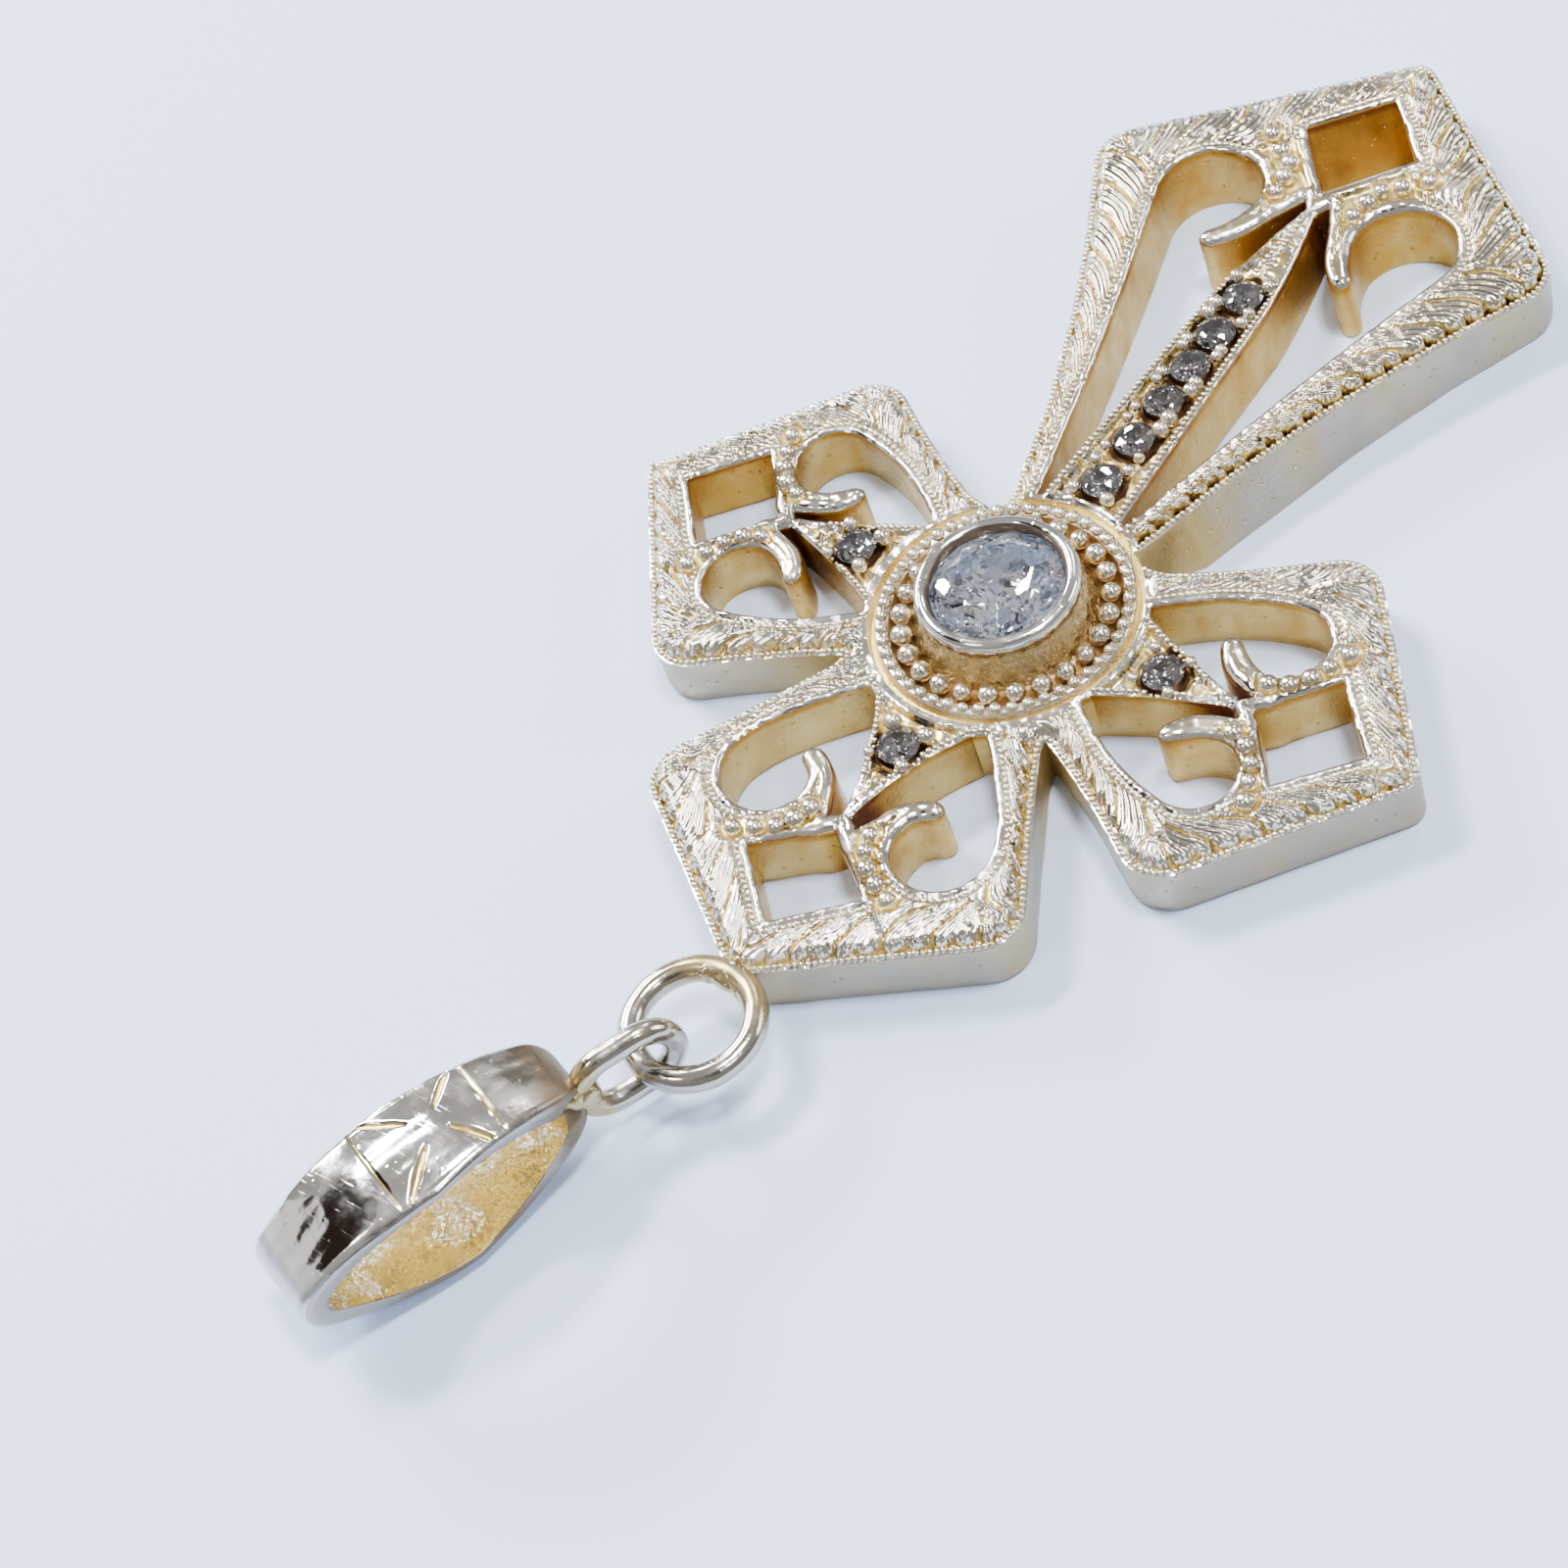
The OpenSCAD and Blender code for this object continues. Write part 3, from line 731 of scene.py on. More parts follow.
def grow_beads(piece, tree, **values):
    """Runs a bead tree on a piece with the given inputs and keeps its result as a plain mesh."""
    modifier = piece.modifiers.new("beads", "NODES")
    modifier.node_group = tree
    names = {item.name.lower().replace(" ", "_"): item.identifier
             for item in tree.interface.items_tree if item.in_out == "INPUT"}
    for name, value in values.items():
        modifier[names[name]] = value
    seen = piece.evaluated_get(bpy.context.evaluated_depsgraph_get())
    mesh = bpy.data.meshes.new_from_object(seen)
    piece.modifiers.clear()
    piece.data = mesh
    return piece


def kept_runs(points, keep):
    """Cuts a closed ring of points into the rows of points that are kept."""
    if keep.all():
        return [(points, True)]
    start = int(np.argmin(keep))
    points, keep = np.roll(points, -start, 0), np.roll(keep, -start)
    rows, row = [], []
    for point, good in zip(points, keep):
        if good:
            row.append(point)
        elif row:
            rows.append(row)
            row = []
    rows.append(row)
    return [(np.array(r), False) for r in rows if len(r) > 3]


def on_relief(points, lift):
    return np.column_stack([points, PLATE_T + relief(points)[0] + lift])


def off_boss(ring):
    return from_middle(ring) > BOSS_R + BEADS_OFF_BOSS


def outer_bead_rows():
    ring = shifted(eased(resampled(OUTER, 0.06)), 0.12)
    return kept_runs(on_relief(ring, 0.0), (outer_edge.nearest(ring)[0] > 0.1) & off_boss(ring))


def hole_bead_rows():
    rows = []
    for hole in HOLES:
        ring = shifted(eased(resampled(hole, 0.06)), -BEAD_LINE)
        turn, across, along = on_arm(ring)
        off_spike = np.abs(across) > spike_half_width(turn, along) + 0.05
        to_outer = outer_edge.nearest(ring)[0]
        keep = (hole_edges.nearest(ring)[0] > BEAD_LINE - 0.03) & (to_outer > 0.3) & (to_outer < BORDER_W)
        keep &= off_boss(ring) & (off_spike | (along > LONG_SPIKE_END)) & (from_grains(ring) > 0.36)
        rows += kept_runs(on_relief(ring, 0.0), keep)
    return rows


def spike_bead_rows():
    rows = []
    for hole in HOLES:
        ring = shifted(eased(resampled(hole, 0.06)), -0.12)
        turn, across, along = on_arm(ring)
        width = spike_half_width(turn, along)
        keep = (np.abs(np.abs(across) - width) < 0.4) & (along < np.where(turn == 180, 13.1, 6.3))
        keep &= off_boss(ring) & (hole_edges.nearest(ring)[0] > 0.09)
        rows += kept_runs(on_relief(ring, 0.03), keep)
    # Two rows run together on the folded point of the long spike
    ridge = np.arange(13.35, 15.5, 0.06)
    for across in (-0.13, 0.13):
        rows.append((on_relief(np.stack([across * (15.9 - ridge) / 2.4, -ridge], 1), 0.02), False))
    return rows


def spots(places, z):
    """Single places at one height, each a row of its own."""
    return [(np.array([[x, y, z]]), False) for x, y in places]


def skin_faces(rows, count, closed=False):
    """Faces between rings of points, the last ring joined to the first where closed."""
    faces = []
    for row in range(rows if closed else rows - 1):
        step = (row + 1) % rows * count - row * count
        for k in range(count):
            a, b = row * count + k, row * count + (k + 1) % count
            faces.append((a, a + step, b + step, b))
    return faces


def lathe(name, profile, materials, segments=160):
    """A turned piece, its profile from the outside in: radius, height and number of its material."""
    points = np.concatenate([level_ring(r, z, segments) for r, z, _ in profile])
    faces = [face[::-1] for face in skin_faces(len(profile), segments)]
    kinds = [kind for _, _, kind in profile[:-1] for _ in range(segments)]
    faces.append(list(range(len(points) - segments, len(points))))
    return mesh_piece(name, points, faces, materials, kinds + [profile[-1][2]], sharp=60)


def tube(path, radius, uneven, seed, sides=28):
    """Points and faces of a wire along a closed path."""
    ahead = np.roll(path, -1, 0) - np.roll(path, 1, 0)
    ahead /= np.linalg.norm(ahead, axis=1)[:, None]
    plane = np.linalg.svd(path - path.mean(0))[2][2]
    side = np.cross(ahead, plane)
    side /= np.linalg.norm(side, axis=1)[:, None]
    w = around(sides)
    round_it = np.cos(w)[None, :, None] * side[:, None] + np.sin(w)[None, :, None] * plane
    points = path[:, None] + round_it * radius
    push = uneven * wavy(points.reshape(-1, 3), 0.9, seed)
    points = points + round_it * push.reshape(len(path), sides, 1)
    return points.reshape(-1, 3), skin_faces(len(path), sides, closed=True)


def lump(centre, sizes, seed, uneven):
    """Points and faces of a solder blob: a ball of three half sizes with a melted surface."""
    rows, cols = 18, 28
    a, b = np.linspace(0, math.pi, rows)[:, None], around(cols)[None, :]
    unit = np.stack([np.sin(a) * np.cos(b), np.sin(a) * np.sin(b), np.cos(a) + 0 * b], -1).reshape(-1, 3)
    points = unit * (1 + uneven * wavy(unit, 1.2, seed))[:, None] * sizes
    return points + centre, skin_faces(rows, cols)


def joined(*parts):
    points, faces, total = [], [], 0
    for part_points, part_faces in parts:
        points.append(part_points)
        faces += [[k + total for k in face] for face in part_faces]
        total += len(part_points)
    return np.concatenate(points), faces


def closed_up(piece):
    """Merges the doubled points at poles and turns all faces outwards."""
    bm = bmesh.new()
    bm.from_mesh(piece.data)
    bmesh.ops.remove_doubles(bm, verts=bm.verts, dist=1e-7)
    bmesh.ops.recalc_face_normals(bm, faces=bm.faces)
    bm.to_mesh(piece.data)
    bm.free()
    return piece


def loop_of_wire():
    x, y, z = LOOP_AT
    low = y - LOOP_R
    points, faces = joined(
        tube(level_ring(LOOP_R, z, 150, (x, y)), LOOP_WIRE_R - 0.012, 0.008, 4),
        lump((x, low + 0.05, z), (0.6, 0.42, 0.35), 6, 0.08),
        lump((x + 0.62, low + 0.16, z + 0.02), (0.42, 0.34, 0.33), 8, 0.1),
        lump((x - 0.66, low + 0.18, z - 0.05), (0.45, 0.36, 0.36), 7, 0.12))
    piece = mesh_piece("loop_of_wire", points, faces, [wire_silver])
    point_values(piece, "hollow", 0.6 * np.exp(-(points[:, 1] - low) ** 2 / 0.5))
    return closed_up(piece)


def placed(points, at, lean):
    """Points made along x, turned to lie along y but for their lean, and moved."""
    return turned(points, 90 - lean) + at


def oval_points(length, height, end_r, n_end, n_side):
    """Front view of the bail as an oval of four arcs, counter clockwise from its +x end."""
    x, b = length / 2 - end_r, height / 2
    big = (x * x + b * b - end_r * end_r) / (2 * (b - end_r))
    w = math.atan2(big - b, x)
    ends = np.linspace(-w, w, n_end, endpoint=False)
    sides = np.linspace(w, math.pi - w, n_side, endpoint=False)
    quarter = [np.stack([x + end_r * np.cos(ends), end_r * np.sin(ends)], 1),
               np.stack([big * np.cos(sides), b - big + big * np.sin(sides)], 1)]
    half = np.concatenate(quarter)
    return np.concatenate([half, -half])


# The cut panel in the front of the bail, along x; its cuts with their two ends, half width and depth
PANEL_FROM, PANEL_TO = -2.33, 0.95
BAIL_CUTS = (
    ((PANEL_FROM, -1.45), (PANEL_FROM, 1.6), 0.075, 0.05),
    ((PANEL_TO, -1.5), (PANEL_TO, 1.62), 0.075, 0.05),
    ((-2.05, -1.2), (-1.2, -0.35), 0.12, 0.09), ((0.72, -1.42), (-0.45, -0.38), 0.11, 0.09),
    ((-1.25, 0.35), (-2.1, 1.55), 0.12, 0.1), ((-0.5, 0.5), (0.72, 1.55), 0.13, 0.1),
)


def bail_band():
    """The oval band as one skin: front with its cuts, rounded edges, side faces and the inside."""
    outer = oval_points(BAIL_L, BAIL_H, BAIL_END_R, 40, 170)
    inner = oval_points(BAIL_L - 2 * BAIL_END_WALL, BAIL_H - 2 * BAIL_WALL, 0.45, 40, 170)
    # Share of the way from the outer to the inner face, and share of the half width
    front = np.linspace(-0.8, 0.8, 52)
    edge = np.radians([10, 24, 38, 52, 66, 80])
    corner = np.stack([0.8 + 0.2 * np.sin(edge), 0.42 * (1 - np.cos(edge))], 1)
    side = np.stack([np.ones(4), np.linspace(0.42, 0.94, 4)], 1)
    hole = np.linspace(0.985, -0.985, 18)
    profile = np.concatenate([
        np.stack([front, 0 * front], 1), corner, side, np.stack([hole, 1 + 0 * hole], 1),
        (side * (-1, 1))[::-1], (corner * (-1, 1))[::-1]])
    across, depth = profile.T
    n, m = len(outer), len(profile)

    def all_over(values):
        """A value for every point, from one for each place along the oval, the profile or both."""
        return np.broadcast_to(values, (n, m)).reshape(-1)

    along = outer[:, 0]
    half_w = BAIL_W / 2 - (BAIL_W - BAIL_END_W) / 2 * np.abs(along) / (BAIL_L / 2 + 1)
    beyond = np.clip((np.abs(along) - 3.2) / (BAIL_L / 2 - 3.2), 0, 1) ** 2
    half_w *= 1 - np.where(along < 0, 0.12 * beyond + 0.25 * beyond ** 4, -0.05 * beyond)
    wider_near = 0.03 + 0.14 * np.exp(-((along - 0.8) / 2.6) ** 2)
    wider_far = 0.17 * smooth_step(0, 3, along)
    y = half_w[:, None] * across[None, :]
    y *= 1 + np.where(y > 0, wider_near[:, None], wider_far[:, None])
    drop = CROWN_R - np.sqrt(CROWN_R ** 2 - y ** 2)
    squeeze = 1 - drop / (BAIL_H / 2)
    x = outer[:, None, 0] * (1 - depth) + inner[:, None, 0] * depth
    z = outer[:, None, 1] * squeeze * (1 - depth) + inner[:, None, 1] * depth
    flat = np.stack([x, y], -1).reshape(-1, 2)
    cut = np.zeros(len(flat))
    for a, b, half, deep in BAIL_CUTS:
        a, b = np.array(a), np.array(b)
        t = np.clip((flat - a) @ (b - a) / np.dot(b - a, b - a), 0, 1)
        off = np.linalg.norm(flat - a - t[:, None] * (b - a), axis=1)
        taper = half * np.sqrt(np.clip(4 * t * (1 - t), 0.05, 1))
        cut = np.maximum(cut, deep * np.clip(1 - off / taper, 0, 1) ** 0.8)
    on_front = ((depth[None, :] < 0.05) & (outer[:, None, 1] > 0.6)).reshape(-1)
    cut *= on_front
    panel = smooth_step(PANEL_FROM, PANEL_FROM + 0.08, flat[:, 0])
    panel *= 1 - smooth_step(PANEL_TO - 0.08, PANEL_TO, flat[:, 0])
    points = np.stack([x, y, z], -1).reshape(-1, 3)
    swell = 0.045 * wavy(points, 2.2, 12) + 0.008 * wavy(flat * (0.45, 1.3), 0.8, 15) * on_front
    swell = np.minimum(swell - 0.035 * panel * on_front, 0) * (1 - all_over(beyond[:, None]))
    inward = np.stack([x - inner[:, None, 0], 0 * x, z - inner[:, None, 1]], -1).reshape(-1, 3)
    inward /= np.maximum(np.linalg.norm(inward, axis=1), 1e-6)[:, None]
    points += inward * (swell * (1 - all_over(depth)) - cut)[:, None]

    # Materials by place: the inside, the sides and the left end, the right end, the front
    next_depth = np.roll(depth, -1)
    on_inside = np.minimum(depth, next_depth) > 0.95
    on_side = (np.maximum(depth, next_depth) > 0.2) | (along[:, None] < PANEL_FROM - 0.05)
    at_end = along[:, None] > 3.3 + 0.4 * (1 - across ** 2)
    kinds = np.select([all_over(on_inside), all_over(on_side), all_over(at_end)], [1, 2, 3], 0)
    points = placed(points, BAIL_AT, BAIL_TURN)
    piece = mesh_piece("bail_band", points, skin_faces(n, m, closed=True),
                       [bright_silver, bail_inside, bail_side, bail_end], kinds, sharp=55)
    by_rim = smooth_step(0.1, 0.95, all_over(across) + 0.25 * wavy(points, 1.6, 33))
    by_solder = smooth_step(3.0, 4.2, 0.35 * wavy(points, 1.2, 35) - all_over(along[:, None]))
    # Painted shade: the side faces darken towards the floor, and the stain values below carry it along with
    # the real solder stains
    floor_shade = 0.9 * (1 - smooth_step(-1.9, -0.9, z)).reshape(-1) * (all_over(depth) > 0.2)
    stain = np.where(all_over(depth) > 0.95, 0.34 + 0.36 * by_rim, np.maximum(0.6 * by_solder, floor_shade))
    point_values(piece, "hollow", np.clip(cut / 0.05, 0, 1) * 0.75 + stain)
    return closed_up(piece)


def bail_ring():
    w = np.linspace(-math.pi / 2, math.pi / 2, 50)
    far = np.stack([RING_R * np.cos(w) + RING_SLOT / 2, RING_R * np.sin(w)], 1)
    slot = np.linspace(RING_SLOT / 2, -RING_SLOT / 2, 20)[1:-1]
    half = np.concatenate([far, np.stack([slot, RING_R + 0 * slot], 1)])
    path = np.concatenate([half, -half])
    path[:, 0] += RING_R + RING_WIRE_R + RING_SLOT / 2
    points, faces = joined(
        tube(np.column_stack([path[:, 0], 0 * path[:, 0], path[:, 1]]), RING_WIRE_R - 0.01, 0.007, 9),
        lump((SOLDER_AT + 0.02, 0, 0.12), (0.5, 0.52, 0.55), 3, 0.1),
        lump((SOLDER_AT + 0.3, 0.1, 0.35), (0.42, 0.38, 0.35), 5, 0.12))
    piece = mesh_piece("bail_ring", placed(points, RING_TIP, RING_TURN), faces, [wire_silver])
    point_values(piece, "hollow", 0.6 * smooth_step(SOLDER_AT - 0.8, SOLDER_AT - 0.1, points[:, 0]))
    return closed_up(piece)


def maths(tree, operation, a, b=0.0, clamp=False):
    return node(tree, "ShaderNodeMath", {0: a, 1: b}, operation=operation, use_clamp=clamp).outputs[0]


def vector_maths(tree, operation, a, b=(0, 0, 0)):
    return node(tree, "ShaderNodeVectorMath", {0: a, 1: b}, operation=operation).outputs[0]


def noise(tree, where, scale, detail=3.0, roughness=0.55, seed=0.0):
    moved = vector_maths(tree, "ADD", where, (seed * 7, seed * 3, seed * 5))
    return node(tree, "ShaderNodeTexNoise", {"Vector": moved, "Scale": scale, "Detail": detail,
                                             "Roughness": roughness}).outputs["Fac"]


def place_in_mm(tree):
    place = tree.nodes.new("ShaderNodeTexCoord").outputs["Object"]
    return vector_maths(tree, "MULTIPLY", place, (1000, 1000, 1000))


def blend(tree, fac, a, b):
    return node(tree, "ShaderNodeMix", {"Factor": fac, 6: a, 7: b}, data_type="RGBA",
                clamp_factor=True).outputs[2]


def between(tree, value, low, high):
    return node(tree, "ShaderNodeMapRange", {"Value": value, "From Min": low, "From Max": high},
                interpolation_type="SMOOTHSTEP").outputs[0]


def tarnish_and_shade_group():
    """Colour of cast silver: clean on the high places, golden in hollows, brown at the deepest, which is
    partly oxide and partly painted shade.
    """
    tree, given = new_group("ShaderNodeTree", "tarnish_and_shade", [
        ("Clean", "Color", (0.86, 0.85, 0.82, 1)), ("Golden", "Color", (0.6, 0.44, 0.17, 1)),
        ("Brown", "Color", (0.1, 0.05, 0.02, 1)), ("Hollow", "Float", 0.0), ("Patches", "Float", 0.15)],
        [("Color", "Color"), ("Amount", "Float")])
    where = place_in_mm(tree)
    broad = noise(tree, where, 0.35, 2.0, seed=1.5)
    fine = noise(tree, where, 2.6, 4.0, seed=4.0)
    both = maths(tree, "ADD", broad, maths(tree, "MULTIPLY", fine, 0.6))
    spread = maths(tree, "MULTIPLY", both, given["Patches"])
    amount = maths(tree, "ADD", given["Hollow"], maths(tree, "SUBTRACT", spread, 0.05))
    golden = blend(tree, between(tree, amount, 0.05, 0.75), given["Clean"], given["Golden"])
    deep = blend(tree, between(tree, amount, 0.85, 1.35), golden, given["Brown"])
    node(tree, "NodeGroupOutput", {"Color": deep, "Amount": amount})
    return tree


def grain_group():
    """Height of a cast skin: soft waves, fine grain and small pits."""
    tree, given = new_group("ShaderNodeTree", "cast_grain", [
        ("Waves", "Float", 0.4), ("Grain", "Float", 0.3), ("Pits", "Float", 0.3),
        ("Grain size", "Float", 9.0)], [("Height", "Float")])
    where = place_in_mm(tree)
    waves = maths(tree, "MULTIPLY", noise(tree, where, 1.7, 2.0, seed=2.0), given["Waves"])
    grain = noise(tree, where, given["Grain size"], 4.0, 0.6, 7.0)
    grain = maths(tree, "MULTIPLY", grain, given["Grain"])
    cells = node(tree, "ShaderNodeTexVoronoi", {"Vector": where, "Scale": 2.3, "Randomness": 1.0},
                 feature="F1").outputs["Distance"]
    pits = maths(tree, "MULTIPLY", between(tree, cells, 0.16, 0.05), given["Pits"])
    height = maths(tree, "SUBTRACT", maths(tree, "ADD", waves, grain), pits)
    node(tree, "NodeGroupOutput", {"Height": height})
    return tree


def wear_group():
    """Roughness of worn metal: duller patches crossed by fine scratches."""
    tree, given = new_group("ShaderNodeTree", "wear", [
        ("Polish", "Float", 0.2), ("Dullness", "Float", 0.2), ("Scratches", "Float", 0.3)],
        [("Roughness", "Float"), ("Height", "Float")])
    where = place_in_mm(tree)
    patches = between(tree, noise(tree, where, 0.9, 3.0, seed=9.0), 0.4, 0.7)
    lines = None
    for turn, seed in ((0.5, 3.0), (2.1, 5.0), (1.2, 11.0)):
        turned = node(tree, "ShaderNodeMapping", {"Vector": where, "Rotation": (0.2, 0.1, turn),
                                                  "Scale": (0.7, 14.0, 6.0)}).outputs[0]
        line = between(tree, noise(tree, turned, 1.0, 1.0, seed=seed), 0.66, 0.74)
        lines = line if lines is None else maths(tree, "MAXIMUM", lines, line)
    scratched = maths(tree, "MULTIPLY", lines, given["Scratches"])
    rough = maths(tree, "ADD", given["Polish"], maths(tree, "MULTIPLY", patches, given["Dullness"]))
    rough = maths(tree, "ADD", rough, maths(tree, "MULTIPLY", scratched, 0.3), clamp=True)
    node(tree, "NodeGroupOutput", {"Roughness": rough, "Height": maths(tree, "MULTIPLY", scratched, -1.0)})
    return tree


TARNISH_AND_SHADE, GRAIN, WEAR = tarnish_and_shade_group(), grain_group(), wear_group()


SILVER = (0.73, 0.695, 0.645)
GOLDEN = (0.72, 0.56, 0.22)
HONEY = (0.68, 0.505, 0.195)
AMBER = (0.5, 0.28, 0.04)


def used(tree, group, inputs):
    return node(tree, "ShaderNodeGroup", inputs, node_tree=group).outputs


def new_material(name):
    material = bpy.data.materials.new(name)
    material.use_nodes = True
    material.node_tree.nodes.clear()
    return material, material.node_tree


def metal(name, clean, golden=GOLDEN, brown=(0.1, 0.05, 0.02), hollow=0.0, patches=0.15, polish=0.2,
          dullness=0.2, scratches=0.16, waves=0.4, grain=0.3, pits=0.3, grain_size=9.0, relief_mm=0.02,
          ridges=0.0, painted_glints=0.0):
    """A silver surface; hollow is a constant, or the name of the mesh's stored values."""
    material, tree = new_material(name)
    where = place_in_mm(tree)

    def stored(label):
        return node(tree, "ShaderNodeAttribute", attribute_name=label).outputs["Fac"]

    if isinstance(hollow, str):
        hollow = stored(hollow)
    if ridges:
        # Five fine ridges run the length of each border leaf
        wobble = maths(tree, "MULTIPLY", noise(tree, where, 1.3, 2.0, seed=12.0), 5.0)
        turn = maths(tree, "ADD", maths(tree, "MULTIPLY", stored("leaf_count"), 10 * math.pi), wobble)
        strength = maths(tree, "MULTIPLY", stored("ridged"), ridges)
        wave = maths(tree, "MULTIPLY", maths(tree, "SINE", turn), strength)
        hollow = maths(tree, "SUBTRACT", hollow, maths(tree, "MULTIPLY", wave, 0.16))
    if painted_glints:
        # Painted glints: bright specks of the clean colour crowd together in patches
        spark = between(tree, noise(tree, where, 9.0, 2.0, seed=15.0), 0.5, 0.58)
        crowd = between(tree, noise(tree, where, 0.8, 1.0, seed=16.0), 0.46, 0.6)
        glint_specks = maths(tree, "MULTIPLY", maths(tree, "MULTIPLY", spark, crowd), painted_glints)
        hollow = maths(tree, "SUBTRACT", hollow, glint_specks)
    # The tint is gilding and oxide in the hollows, and painted shade where the hollow values hold it
    stain = used(tree, TARNISH_AND_SHADE, {"Clean": (*clean, 1), "Golden": (*golden, 1), "Brown": (*brown, 1),
                                 "Hollow": hollow, "Patches": patches})
    skin = used(tree, GRAIN, {"Waves": waves, "Grain": grain, "Pits": pits, "Grain size": grain_size})
    worn = used(tree, WEAR, {"Polish": polish, "Dullness": dullness, "Scratches": scratches})
    height = maths(tree, "ADD", skin["Height"], maths(tree, "MULTIPLY", worn["Height"], 0.3))
    if ridges:
        height = maths(tree, "ADD", height, wave)
    bump = node(tree, "ShaderNodeBump", {"Strength": 1.0, "Distance": relief_mm * MM, "Height": height})
    dulled = maths(tree, "MULTIPLY", between(tree, stain["Amount"], 0.3, 1.2), 0.22)
    rough = maths(tree, "ADD", worn["Roughness"], dulled, clamp=True)
    shader = node(tree, "ShaderNodeBsdfPrincipled", {
        "Base Color": stain["Color"], "Metallic": 1.0, "Roughness": rough, "Normal": bump.outputs[0]})
    node(tree, "ShaderNodeOutputMaterial", {"Surface": shader.outputs[0]})
    return material


def cut_stone(name, tint, index, flash_size, painted_flash_colour):
    material, tree = new_material(name)
    where = place_in_mm(tree)
    cloud = between(tree, noise(tree, where, 1.1, 2.0, seed=6.0), 0.35, 0.75)
    colour = blend(tree, cloud, (*tint, 1), (*(c * 0.9 for c in tint), 1))
    smear = between(tree, noise(tree, where, 2.4, 3.0, seed=8.0), 0.5, 0.8)
    smear = maths(tree, "MULTIPLY", smear, 0.05)
    # Small flashes: the cut is tilted a little from patch to patch, and each patch glows faintly in the
    # flash colour as a painted glint
    patch = node(tree, "ShaderNodeTexVoronoi", {"Vector": where, "Scale": 1 / flash_size}).outputs["Color"]
    tilt = vector_maths(tree, "ADD", patch, (-0.5, -0.5, -0.5))
    tilt = vector_maths(tree, "MULTIPLY", tilt, (0.3, 0.3, 0.3))
    facing = tree.nodes.new("ShaderNodeNewGeometry").outputs["Normal"]
    normal = vector_maths(tree, "NORMALIZE", vector_maths(tree, "ADD", facing, tilt))
    lit = between(tree, node(tree, "ShaderNodeSeparateXYZ", {0: patch}).outputs[1], 0.45, 1.0)
    lit = node(tree, "ShaderNodeCombineXYZ", {0: lit, 1: lit, 2: lit}).outputs[0]
    shader = node(tree, "ShaderNodeBsdfPrincipled", {
        "Base Color": colour, "Roughness": smear, "IOR": index, "Transmission Weight": 1.0,
        "Specular IOR Level": 0.3, "Normal": normal, "Emission Strength": 1.0,
        "Emission Color": vector_maths(tree, "MULTIPLY", painted_flash_colour, lit)})
    node(tree, "ShaderNodeOutputMaterial", {"Surface": shader.outputs[0]})
    return material


cast_silver = metal("cast_silver", SILVER, hollow="hollow", patches=0.17, polish=0.12, dullness=0.16,
                    waves=0.6, grain=0.12, relief_mm=0.028, ridges=0.85)
bead_silver = metal("bead_silver", SILVER, hollow=0.2, polish=0.18, dullness=0.1, grain=0.15, pits=0.0)
gilt_wall = metal("gilt_wall", HONEY, AMBER, (0.2, 0.07, 0.02), hollow="hollow", patches=0.55,
                  polish=0.26, grain=0.6, pits=0.8, relief_mm=0.04)
side_silver = metal("side_silver", (0.39, 0.34, 0.275), (0.5, 0.37, 0.15), hollow="hollow",
                    patches=0.4, polish=0.36, dullness=0.15, grain=0.5, pits=0.9, relief_mm=0.045)
back_silver = metal("back_silver", (0.8, 0.79, 0.77), patches=0.2, polish=0.42, dullness=0.15)
bright_silver = metal("bright_silver", (0.73, 0.715, 0.69), hollow="hollow", polish=0.08,
                      dullness=0.16, waves=0.7, grain=0.07, pits=0.25)
wire_silver = metal("wire_silver", (0.48, 0.46, 0.425), (0.48, 0.38, 0.2), hollow="hollow",
                    patches=0.35, polish=0.14, dullness=0.14, waves=0.5, grain=0.12)
bail_inside = metal("bail_inside", (0.92, 0.87, 0.76), (0.56, 0.38, 0.075), hollow="hollow",
                    patches=0.4, polish=0.1, waves=0.5, grain=2.0, grain_size=7.0, relief_mm=0.1,
                    painted_glints=0.95)
bail_end = metal("bail_end", (0.6, 0.595, 0.59), (0.34, 0.27, 0.15), hollow="hollow", patches=0.1,
                 polish=0.34, dullness=0.1, waves=0.7, grain=0.15)
bail_side = metal("bail_side", (0.38, 0.355, 0.32), (0.2, 0.15, 0.1), hollow="hollow", patches=0.3,
                  pits=0.5)
groove_gold = metal("groove_gold", (0.84, 0.64, 0.2), patches=0.5, polish=0.25, grain=0.8)
channel_gold = metal("channel_gold", (0.6, 0.5, 0.28), (0.3, 0.16, 0.05), patches=0.8, polish=0.3,
                     grain=0.8)
cup_wall = metal("cup_wall", (0.72, 0.64, 0.48), (0.46, 0.33, 0.14), patches=0.8, polish=0.16,
                 waves=1.0, grain=1.6, grain_size=3.0, relief_mm=0.07)
# Painted shade, partly real oxide: the inner wall of the bezel lip is dark brown where shade falls in the
# gap round the centre stone
dark_seat = metal("dark_seat", (0.16, 0.12, 0.09), AMBER, patches=0.1, polish=0.35)
seat_cone = metal("seat_cone", (0.75, 0.79, 0.87), patches=0.1, polish=0.3)
clear_stone = cut_stone("clear_stone", (0.94, 0.97, 1.0), 2.1, 0.5, (0.08, 0.1, 0.15))
grey_stone = cut_stone("grey_stone", (0.27, 0.265, 0.27), 2.0, 0.3, (0.05, 0.05, 0.055))

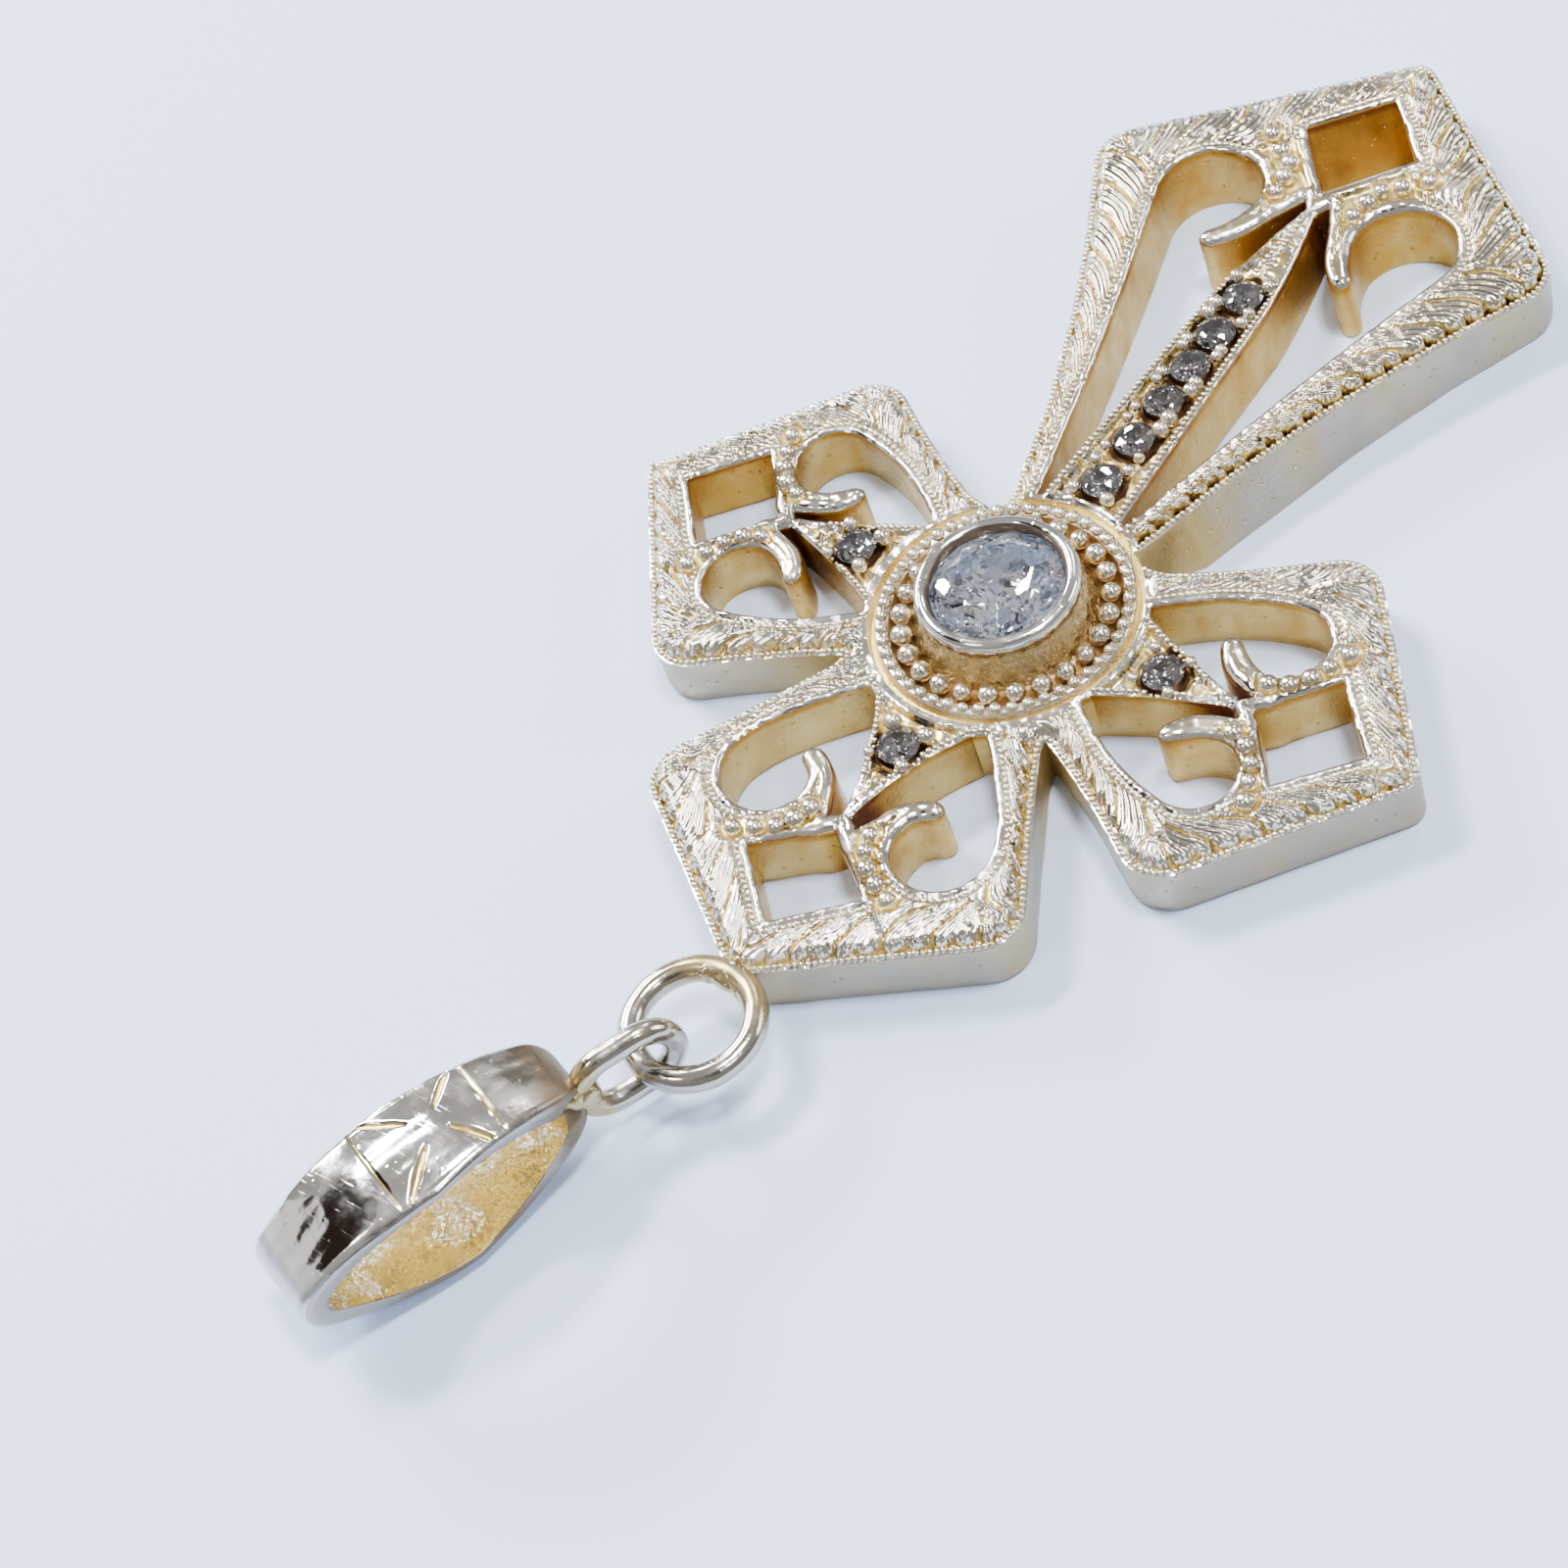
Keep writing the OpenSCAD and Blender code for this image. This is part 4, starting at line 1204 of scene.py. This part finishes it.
# Half of a cut through the boss: radius, height and the number of the material from there on
BOSS_PROFILE = (
    (3.87, 1.7, 0), (3.72, 1.7, 0), (3.7, 1.74, 1), (3.68, 1.8, 1), (3.66, 1.88, 1), (3.62, 1.94, 1),
    (3.57, 1.96, 1), (3.36, 1.93, 1), (3.28, 1.86, 2), (3.22, 1.74, 2), (3.14, 1.68, 2), (2.7, 1.66, 2),
    (2.62, 1.72, 3), (2.52, 1.88, 3), (2.42, 2.1, 3), (2.33, 2.36, 3), (2.24, 2.52, 3), (2.22, 2.63, 4),
    (2.28, 2.72, 4), (2.32, 2.86, 4), (2.32, 3.0, 4), (2.28, 3.1, 4), (2.2, 3.17, 4), (2.08, 3.19, 4),
    (1.98, 3.15, 5), (1.92, 3.06, 5), (1.89, 2.98, 5), (1.88, 2.93, 5), (2.02, 2.91, 5), (2.03, 2.67, 6),
    (1.4, 2.05, 6), (0.6, 1.3, 6), (0.2, 0.95, 6),
)
boss_ring = lathe("boss_ring", BOSS_PROFILE, [groove_gold, bead_silver, channel_gold, cup_wall,
                                              bright_silver, dark_seat, seat_cone])
plate = cross_plate([cast_silver, gilt_wall, side_silver, back_silver])

IN_ROWS, ON_POINTS = bead_tree("beads_in_rows", True), bead_tree("beads_on_points", False)


def beads(name, rows, tree, radius, flattening, unevenness, seed, **more):
    return grow_beads(row_mesh(name, rows), tree, bead_radius=radius * MM, flattening=flattening,
                      unevenness=unevenness, seed=seed, metal=bead_silver, **more)


rim_row = [(level_ring(RIM_BEADS_R, PLATE_T + 0.05, 120), True)]
boss_spots = spots(circle((0, 0), BOSS_BEADS_R, BOSS_BEADS), PLATE_T - 0.02)
prongs = np.concatenate([turned(circle((0, 0), PRONGS_R, 4), arm_of(seat[None])[0] + 45) + seat
                         for seat in SEATS.values()])
bead_pieces = [
    beads("milgrain_edge", outer_bead_rows(), IN_ROWS, 0.098, 0.85, 0.12, 3, pitch=0.18 * MM),
    beads("milgrain_holes", hole_bead_rows(), IN_ROWS, 0.095, 0.8, 0.15, 5, pitch=0.2 * MM),
    beads("milgrain_spikes", spike_bead_rows(), IN_ROWS, 0.095, 0.8, 0.15, 7, pitch=0.19 * MM),
    beads("milgrain_rim", rim_row, IN_ROWS, 0.2, 0.85, 0.1, 9, pitch=0.46 * MM),
    beads("boss_beads", boss_spots, ON_POINTS, 0.3, 0.95, 0.1, 11, sides=12),
    beads("scroll_grains", spots(GRAINS_AT, PLATE_T + 0.02), ON_POINTS, 0.28, 0.9, 0.12, 17, sides=12),
    beads("prong_beads", spots(prongs, PLATE_T + 0.12), ON_POINTS, 0.215, 0.95, 0.25, 13, sides=12),
]
loop = loop_of_wire()
band = bail_band()
ring = bail_ring()

for piece in (plate, boss_ring, *bead_pieces, loop):
    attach(piece, "root")
    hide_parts("cross")
for piece in (band, ring):
    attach(piece, "root")
    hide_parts("bail")
for name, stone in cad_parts.items():
    if "stone" in name:
        stone.data.materials.clear()
        stone.data.materials.append(clear_stone if name == "centre_stone" else grey_stone)

camera = add_object("camera", bpy.data.cameras.new("camera"))
CAMERA_AT = Vector((-44.19, 39.39, 72.07)) * MM
CAMERA_LOOKS_AT = Vector((3.415, 6.694, 0)) * MM
CAMERA_ROLL = math.radians(23.85)
camera.data.sensor_width = 36
camera.data.lens = 76.95
camera.data.clip_start = 0.005
camera.data.clip_end = 5
camera.location = CAMERA_AT
camera.rotation_mode = "QUATERNION"
aim = (CAMERA_LOOKS_AT - CAMERA_AT).to_track_quat("-Z", "Y")
camera.rotation_quaternion = aim @ Matrix.Rotation(-CAMERA_ROLL, 4, "Z").to_quaternion()
bpy.context.scene.camera = camera

floor_mesh = bpy.data.meshes.new("floor")
floor_mesh.from_pydata([(-0.6, -0.6, 0), (0.6, -0.6, 0), (0.6, 0.6, 0), (-0.6, 0.6, 0)], [], [(0, 1, 2, 3)])
floor_paper, paper = new_material("floor_paper")
soft_white = node(paper, "ShaderNodeBsdfPrincipled",
                  {"Base Color": (0.603, 0.735, 0.99, 1), "Roughness": 0.7})
node(paper, "ShaderNodeOutputMaterial", {"Surface": soft_white.outputs[0]})
floor_mesh.materials.append(floor_paper)
floor = add_object("floor", floor_mesh)
floor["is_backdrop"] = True


LIGHTS_AIM_AT = Vector((0, 0.005, 0))
for name, at, size, power in (
        ("window_top", (0.305, -0.053, 0.37), (0.2, 0.05), 3.4),
        ("window_foot", (0.435, -0.076, 0.195), (0.2, 0.05), 3.9),
        ("left_panel", (0.42, 0.28, 0.2), (0.3, 0.2), 0.15),
        ("right_panel", (-0.3, -0.4, 0.22), (0.2, 0.14), 1.0),
        ("overhead", (-0.1, -0.1, 0.6), (0.12, 0.12), 4.5),
        ("lamp", (0.1, 0.3, 0.5), (0.05, 0.05), 0.6),
        ("low_lamp", (-0.3, 0.02, 0.42), (0.05, 0.05), 0.5),
        ("far_lamp", (0.1, -0.42, 0.36), (0.05, 0.05), 0.6)):
    light = add_object(name, bpy.data.lights.new(name, "AREA"))
    light.data.shape = "RECTANGLE"
    light.data.size, light.data.size_y = size
    light.data.energy = power
    light.location = at
    light.rotation_euler = (LIGHTS_AIM_AT - Vector(at)).to_track_quat("-Z", "Y").to_euler()

world = bpy.data.worlds.new("studio")
bpy.context.scene.world = world
world.use_nodes = True
sky = world.node_tree
sky.nodes.clear()
direction = sky.nodes.new("ShaderNodeTexCoord").outputs["Generated"]
up = node(sky, "ShaderNodeSeparateXYZ", {0: direction}).outputs[2]
rise = node(sky, "ShaderNodeMapRange", {"Value": up, "From Min": -0.1, "From Max": 0.8}).outputs[0]
shade = blend(sky, rise, (0.27, 0.26, 0.25, 1), (0.55, 0.54, 0.53, 1))
# Two dark places in the room show in the polished metal
for place, low, high, dark in (((-0.515, 0.354, 0.78), 0.93, 0.985, (0.12, 0.11, 0.11, 1)),
                               ((0.53, 0.34, 0.78), 0.93, 0.965, (0.03, 0.018, 0.014, 1))):
    toward = node(sky, "ShaderNodeVectorMath", {0: direction, 1: place}, operation="DOT_PRODUCT")
    shade = blend(sky, between(sky, toward.outputs["Value"], low, high), shade, dark)
backdrop = node(sky, "ShaderNodeBackground", {"Color": shade, "Strength": 1.0})
node(sky, "ShaderNodeOutputWorld", {"Surface": backdrop.outputs[0]})

low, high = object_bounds()
{"cad": [list(cad_low), list(cad_high)], "visual": [list(low), list(high)]}
